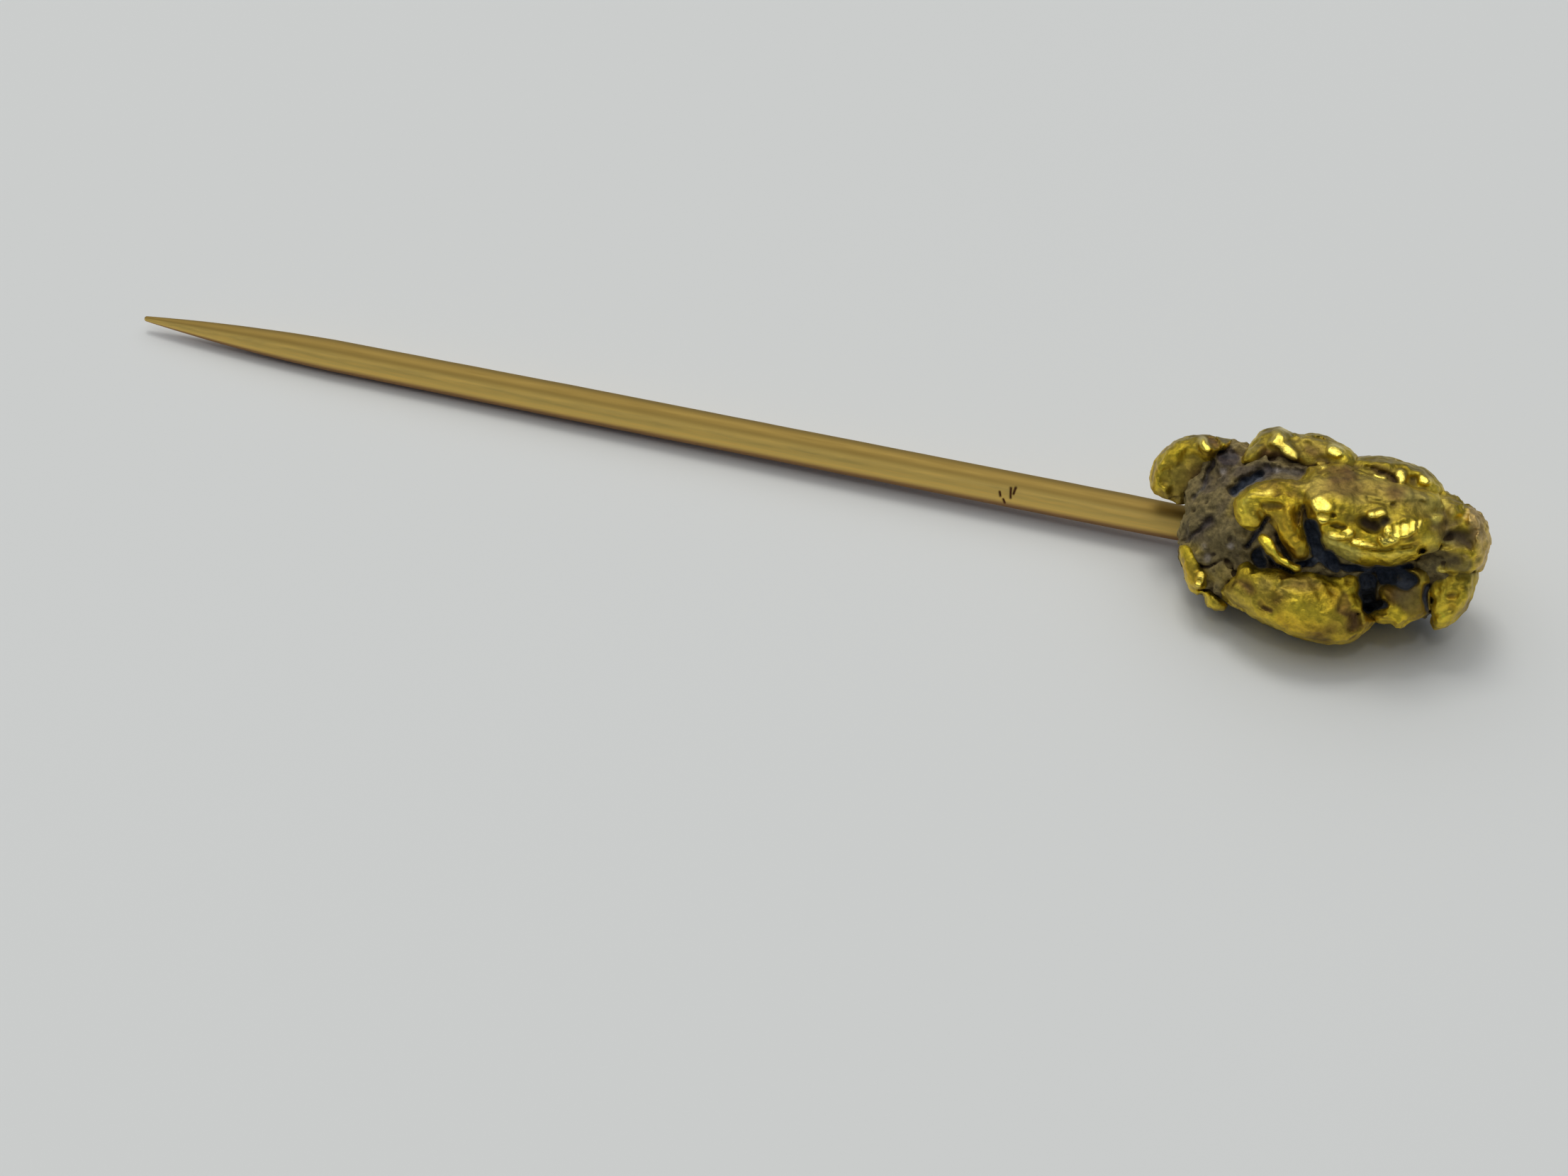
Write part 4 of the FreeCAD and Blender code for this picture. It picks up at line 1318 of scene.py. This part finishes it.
def build_wire():
    """The wire as one closed turned mesh, with its punch marks pressed in."""
    along = wire_stations()[:, None]
    angles = 2.0 * math.pi * np.arange(WIRE_SIDES) / WIRE_SIDES
    # The rings start on the side where the punch marks are, halfway up the front.
    face = np.array([0.0, -math.cos(CAMERA_TILT), math.sin(CAMERA_TILT)])
    face = face - TO_TIP * (face @ TO_TIP)
    face /= np.linalg.norm(face)
    up = np.cross(TO_TIP, face)
    up *= np.sign(up[2])
    ring = np.cos(angles)[:, None] * face + np.sin(angles)[:, None] * up
    radii = np.array([wire_radius(station) for station in along[:, 0]])[:, None]
    radii = radii * (1.0 + RIPPLE * ripple(along, angles))
    marked_side = np.cos(angles) > 0.0
    press = punch_marks(along, np.where(marked_side, np.sin(angles) * radii, FAR_ROUND))
    radii = radii - NICK_DEPTH * press
    rings = ENTRY + along[:, :, None] * TO_TIP + radii[:, :, None] * ring
    ends = [ENTRY + along[0] * TO_TIP, ENTRY + WIRE_LENGTH * TO_TIP]
    wire = turned_object("pin_wire", rings, ends)
    paint(wire, wire_tints(ring[:, 2], press))
    return wire


def wire_material():
    """Warm drawn gold with fine lines along it; the punch marks hold dark grime."""
    material, tree, shader = new_material("wire_gold")
    shader.inputs["Metallic"].default_value = 1.0
    place = node(tree, "ShaderNodeTexCoord")
    squeeze = node(tree, "ShaderNodeMapping", Scale=(0.05, 1.0, 1.0))
    tree.links.new(place.outputs["Object"], squeeze.inputs["Vector"])
    lines = node(tree, "ShaderNodeTexNoise", Scale=9000.0, Detail=4.0, Roughness=0.6)
    tree.links.new(squeeze.outputs["Vector"], lines.inputs["Vector"])
    shade_tint(tree, shader, lines.outputs["Fac"], 0.92, 1.12)
    raise_texture(tree, shader, lines.outputs["Fac"], 0.2, LINE_BUMP)
    tree.links.new(remap(tree, lines.outputs["Fac"], 0.55, 0.7), shader.inputs["Roughness"])
    return material


wire = build_wire()
wire.data.materials.append(wire_material())
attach(wire, "root")
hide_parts("pin_stem")

# ---------------------------------------------------------------- the solder

# The collar runs from its uneven lip to its foot, this far inside the wire's entry (mm).
SOLDER_LIP, SOLDER_FOOT = 0.3, 0.95
SOLDER_SIDES, SOLDER_ROWS = 72, 24
# Its radius at the lip, how much it flares, and the radius where each end closes on the wire.
SOLDER_RADIUS, SOLDER_FLARE = 0.6, 0.24
LIP_CLOSE, FOOT_CLOSE = 0.58, 0.5
LIP_POINT = 0.34


def build_solder():
    """The small uneven collar of solder where the wire goes into the nugget."""
    angles = 2.0 * math.pi * np.arange(SOLDER_SIDES) / SOLDER_SIDES
    level = np.array([0.0, 1.0, 0.0])
    ring = np.cos(angles)[:, None] * level + np.sin(angles)[:, None] * np.cross(TO_TIP, level)
    share = np.linspace(0.0, 1.0, SOLDER_ROWS)[:, None]
    lip = SOLDER_LIP + 0.06 * np.sin(angles * 3 + 1.0) + 0.04 * np.sin(angles * 5)
    depth = lip[None, :] * (1.0 - share) + SOLDER_FOOT * share
    radii = SOLDER_RADIUS + SOLDER_FLARE * share**1.4 + 0.012 * np.sin(angles * 4 + share * 5)
    radii[0] = LIP_CLOSE
    radii[-1] = FOOT_CLOSE
    rings = ENTRY - depth[:, :, None] * TO_TIP + radii[:, :, None] * ring
    ends = [ENTRY - LIP_POINT * TO_TIP, ENTRY - SOLDER_FOOT * TO_TIP]
    return turned_object("solder_collar", rings, ends, inside_out=True)


SOLDER_GOLD = (0.42, 0.28, 0.11, 1.0)
SOLDER_BROWN = (0.20, 0.12, 0.05, 1.0)


def solder_material():
    """Dull solder, browned by heat."""
    material, tree, shader = new_material("solder_gold")
    shader.inputs["Metallic"].default_value = 1.0
    shader.inputs["Roughness"].default_value = 0.5
    place = node(tree, "ShaderNodeTexCoord")
    mottle = node(tree, "ShaderNodeTexNoise", Scale=3500.0, Detail=3.0)
    tree.links.new(place.outputs["Object"], mottle.inputs["Vector"])
    stain = tree.nodes.new("ShaderNodeMix")
    stain.data_type = "RGBA"
    stain.inputs["A"].default_value = SOLDER_GOLD
    stain.inputs["B"].default_value = SOLDER_BROWN
    tree.links.new(mottle.outputs["Fac"], stain.inputs["Factor"])
    tree.links.new(stain.outputs["Result"], shader.inputs["Base Color"])
    return material


solder = build_solder()
solder.data.materials.append(solder_material())
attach(solder, "root")
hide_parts("solder_fillet")

# ---------------------------------------------------------------- table, light and camera


TABLE_HALF = 1.2
TABLE_WHITE = (0.74, 0.748, 0.73, 1.0)


def build_table():
    """The pale table top, in metres."""
    mesh = bpy.data.meshes.new("table")
    corners = [(x * TABLE_HALF, y * TABLE_HALF, 0) for x, y in ((-1, -1), (1, -1), (1, 1), (-1, 1))]
    mesh.from_pydata(corners, [], [(0, 1, 2, 3)])
    table = bpy.data.objects.new("table", mesh)
    bpy.context.scene.collection.objects.link(table)
    paint_coat, _, shader = new_material("table_white")
    shader.inputs["Base Color"].default_value = TABLE_WHITE
    shader.inputs["Roughness"].default_value = 0.6
    shader.inputs["Specular IOR Level"].default_value = 0.25
    mesh.materials.append(paint_coat)
    return table


build_table()


def area_light(name, place, target, size, power, colour):
    """A soft rectangular light, in mm and watts."""
    lamp = bpy.data.lights.new(name, "AREA")
    lamp.shape = "RECTANGLE"
    lamp.size, lamp.size_y = size[0] * MM, size[1] * MM
    lamp.energy = power
    lamp.color = colour
    holder = bpy.data.objects.new(name, lamp)
    bpy.context.scene.collection.objects.link(holder)
    holder.location = Vector(place) * MM
    aim = Vector(target) * MM - holder.location
    holder.rotation_euler = aim.to_track_quat("-Z", "Y").to_euler()


HEAD = (19.0, 0.0, 2.5)
area_light("key", (-130, 200, 600), HEAD, (230, 230), 0.95, (1.0, 0.99, 0.96))
area_light("front", (75, -295, 630), HEAD, (60, 60), 0.16, (1.0, 1.0, 0.98))

# The ceiling glows round this direction; the walls and the viewer's side stay dim and bluish.
CEILING_AXIS = (-0.20, 0.26, 0.94)
CEILING_EDGE, CEILING_FULL = 0.40, 0.88
WALL_GLOW, CEILING_GLOW = 0.13, 0.94
WALL_COLOUR = (0.78, 0.98, 1.35, 1.0)
CEILING_COLOUR = (1.0, 1.0, 0.99, 1.0)


def build_room():
    """A dim room under a broad, soft ceiling light."""
    room = bpy.data.worlds.new("room")
    bpy.context.scene.world = room
    room.use_nodes = True
    tree = room.node_tree
    place = tree.nodes.new("ShaderNodeTexCoord")
    aim = tree.nodes.new("ShaderNodeVectorMath")
    aim.operation = "DOT_PRODUCT"
    aim.inputs[1].default_value = CEILING_AXIS
    tree.links.new(place.outputs["Generated"], aim.inputs[0])
    share = tree.nodes.new("ShaderNodeMapRange")
    share.interpolation_type = "SMOOTHSTEP"
    share.inputs["From Min"].default_value = CEILING_EDGE
    share.inputs["From Max"].default_value = CEILING_FULL
    tree.links.new(aim.outputs["Value"], share.inputs["Value"])
    walls = tree.nodes["Background"]
    walls.inputs["Color"].default_value = WALL_COLOUR
    walls.inputs["Strength"].default_value = WALL_GLOW
    ceiling = tree.nodes.new("ShaderNodeBackground")
    ceiling.inputs["Color"].default_value = CEILING_COLOUR
    ceiling.inputs["Strength"].default_value = CEILING_GLOW
    both = tree.nodes.new("ShaderNodeMixShader")
    tree.links.new(share.outputs["Result"], both.inputs["Fac"])
    tree.links.new(walls.outputs["Background"], both.inputs[1])
    tree.links.new(ceiling.outputs["Background"], both.inputs[2])
    tree.links.new(both.outputs["Shader"], tree.nodes["World Output"].inputs["Surface"])


def build_camera():
    """The camera, turned about Z and tilted down at the table."""
    lens = bpy.data.cameras.new("view")
    lens.lens = CAMERA_LENS
    lens.sensor_width = SENSOR
    lens.clip_start = 0.001
    lens.clip_end = 10.0
    camera = bpy.data.objects.new("view", lens)
    bpy.context.scene.collection.objects.link(camera)
    axes = np.stack(unit_axes(CAMERA_TURN, CAMERA_TILT), axis=1)
    turn = Matrix([list(row) for row in axes])
    camera.matrix_world = Matrix.Translation(Vector(CAMERA_PLACE * MM)) @ turn.to_4x4()
    return camera


build_room()
bpy.context.scene.camera = build_camera()
bpy.context.scene.view_settings.view_transform = "Standard"
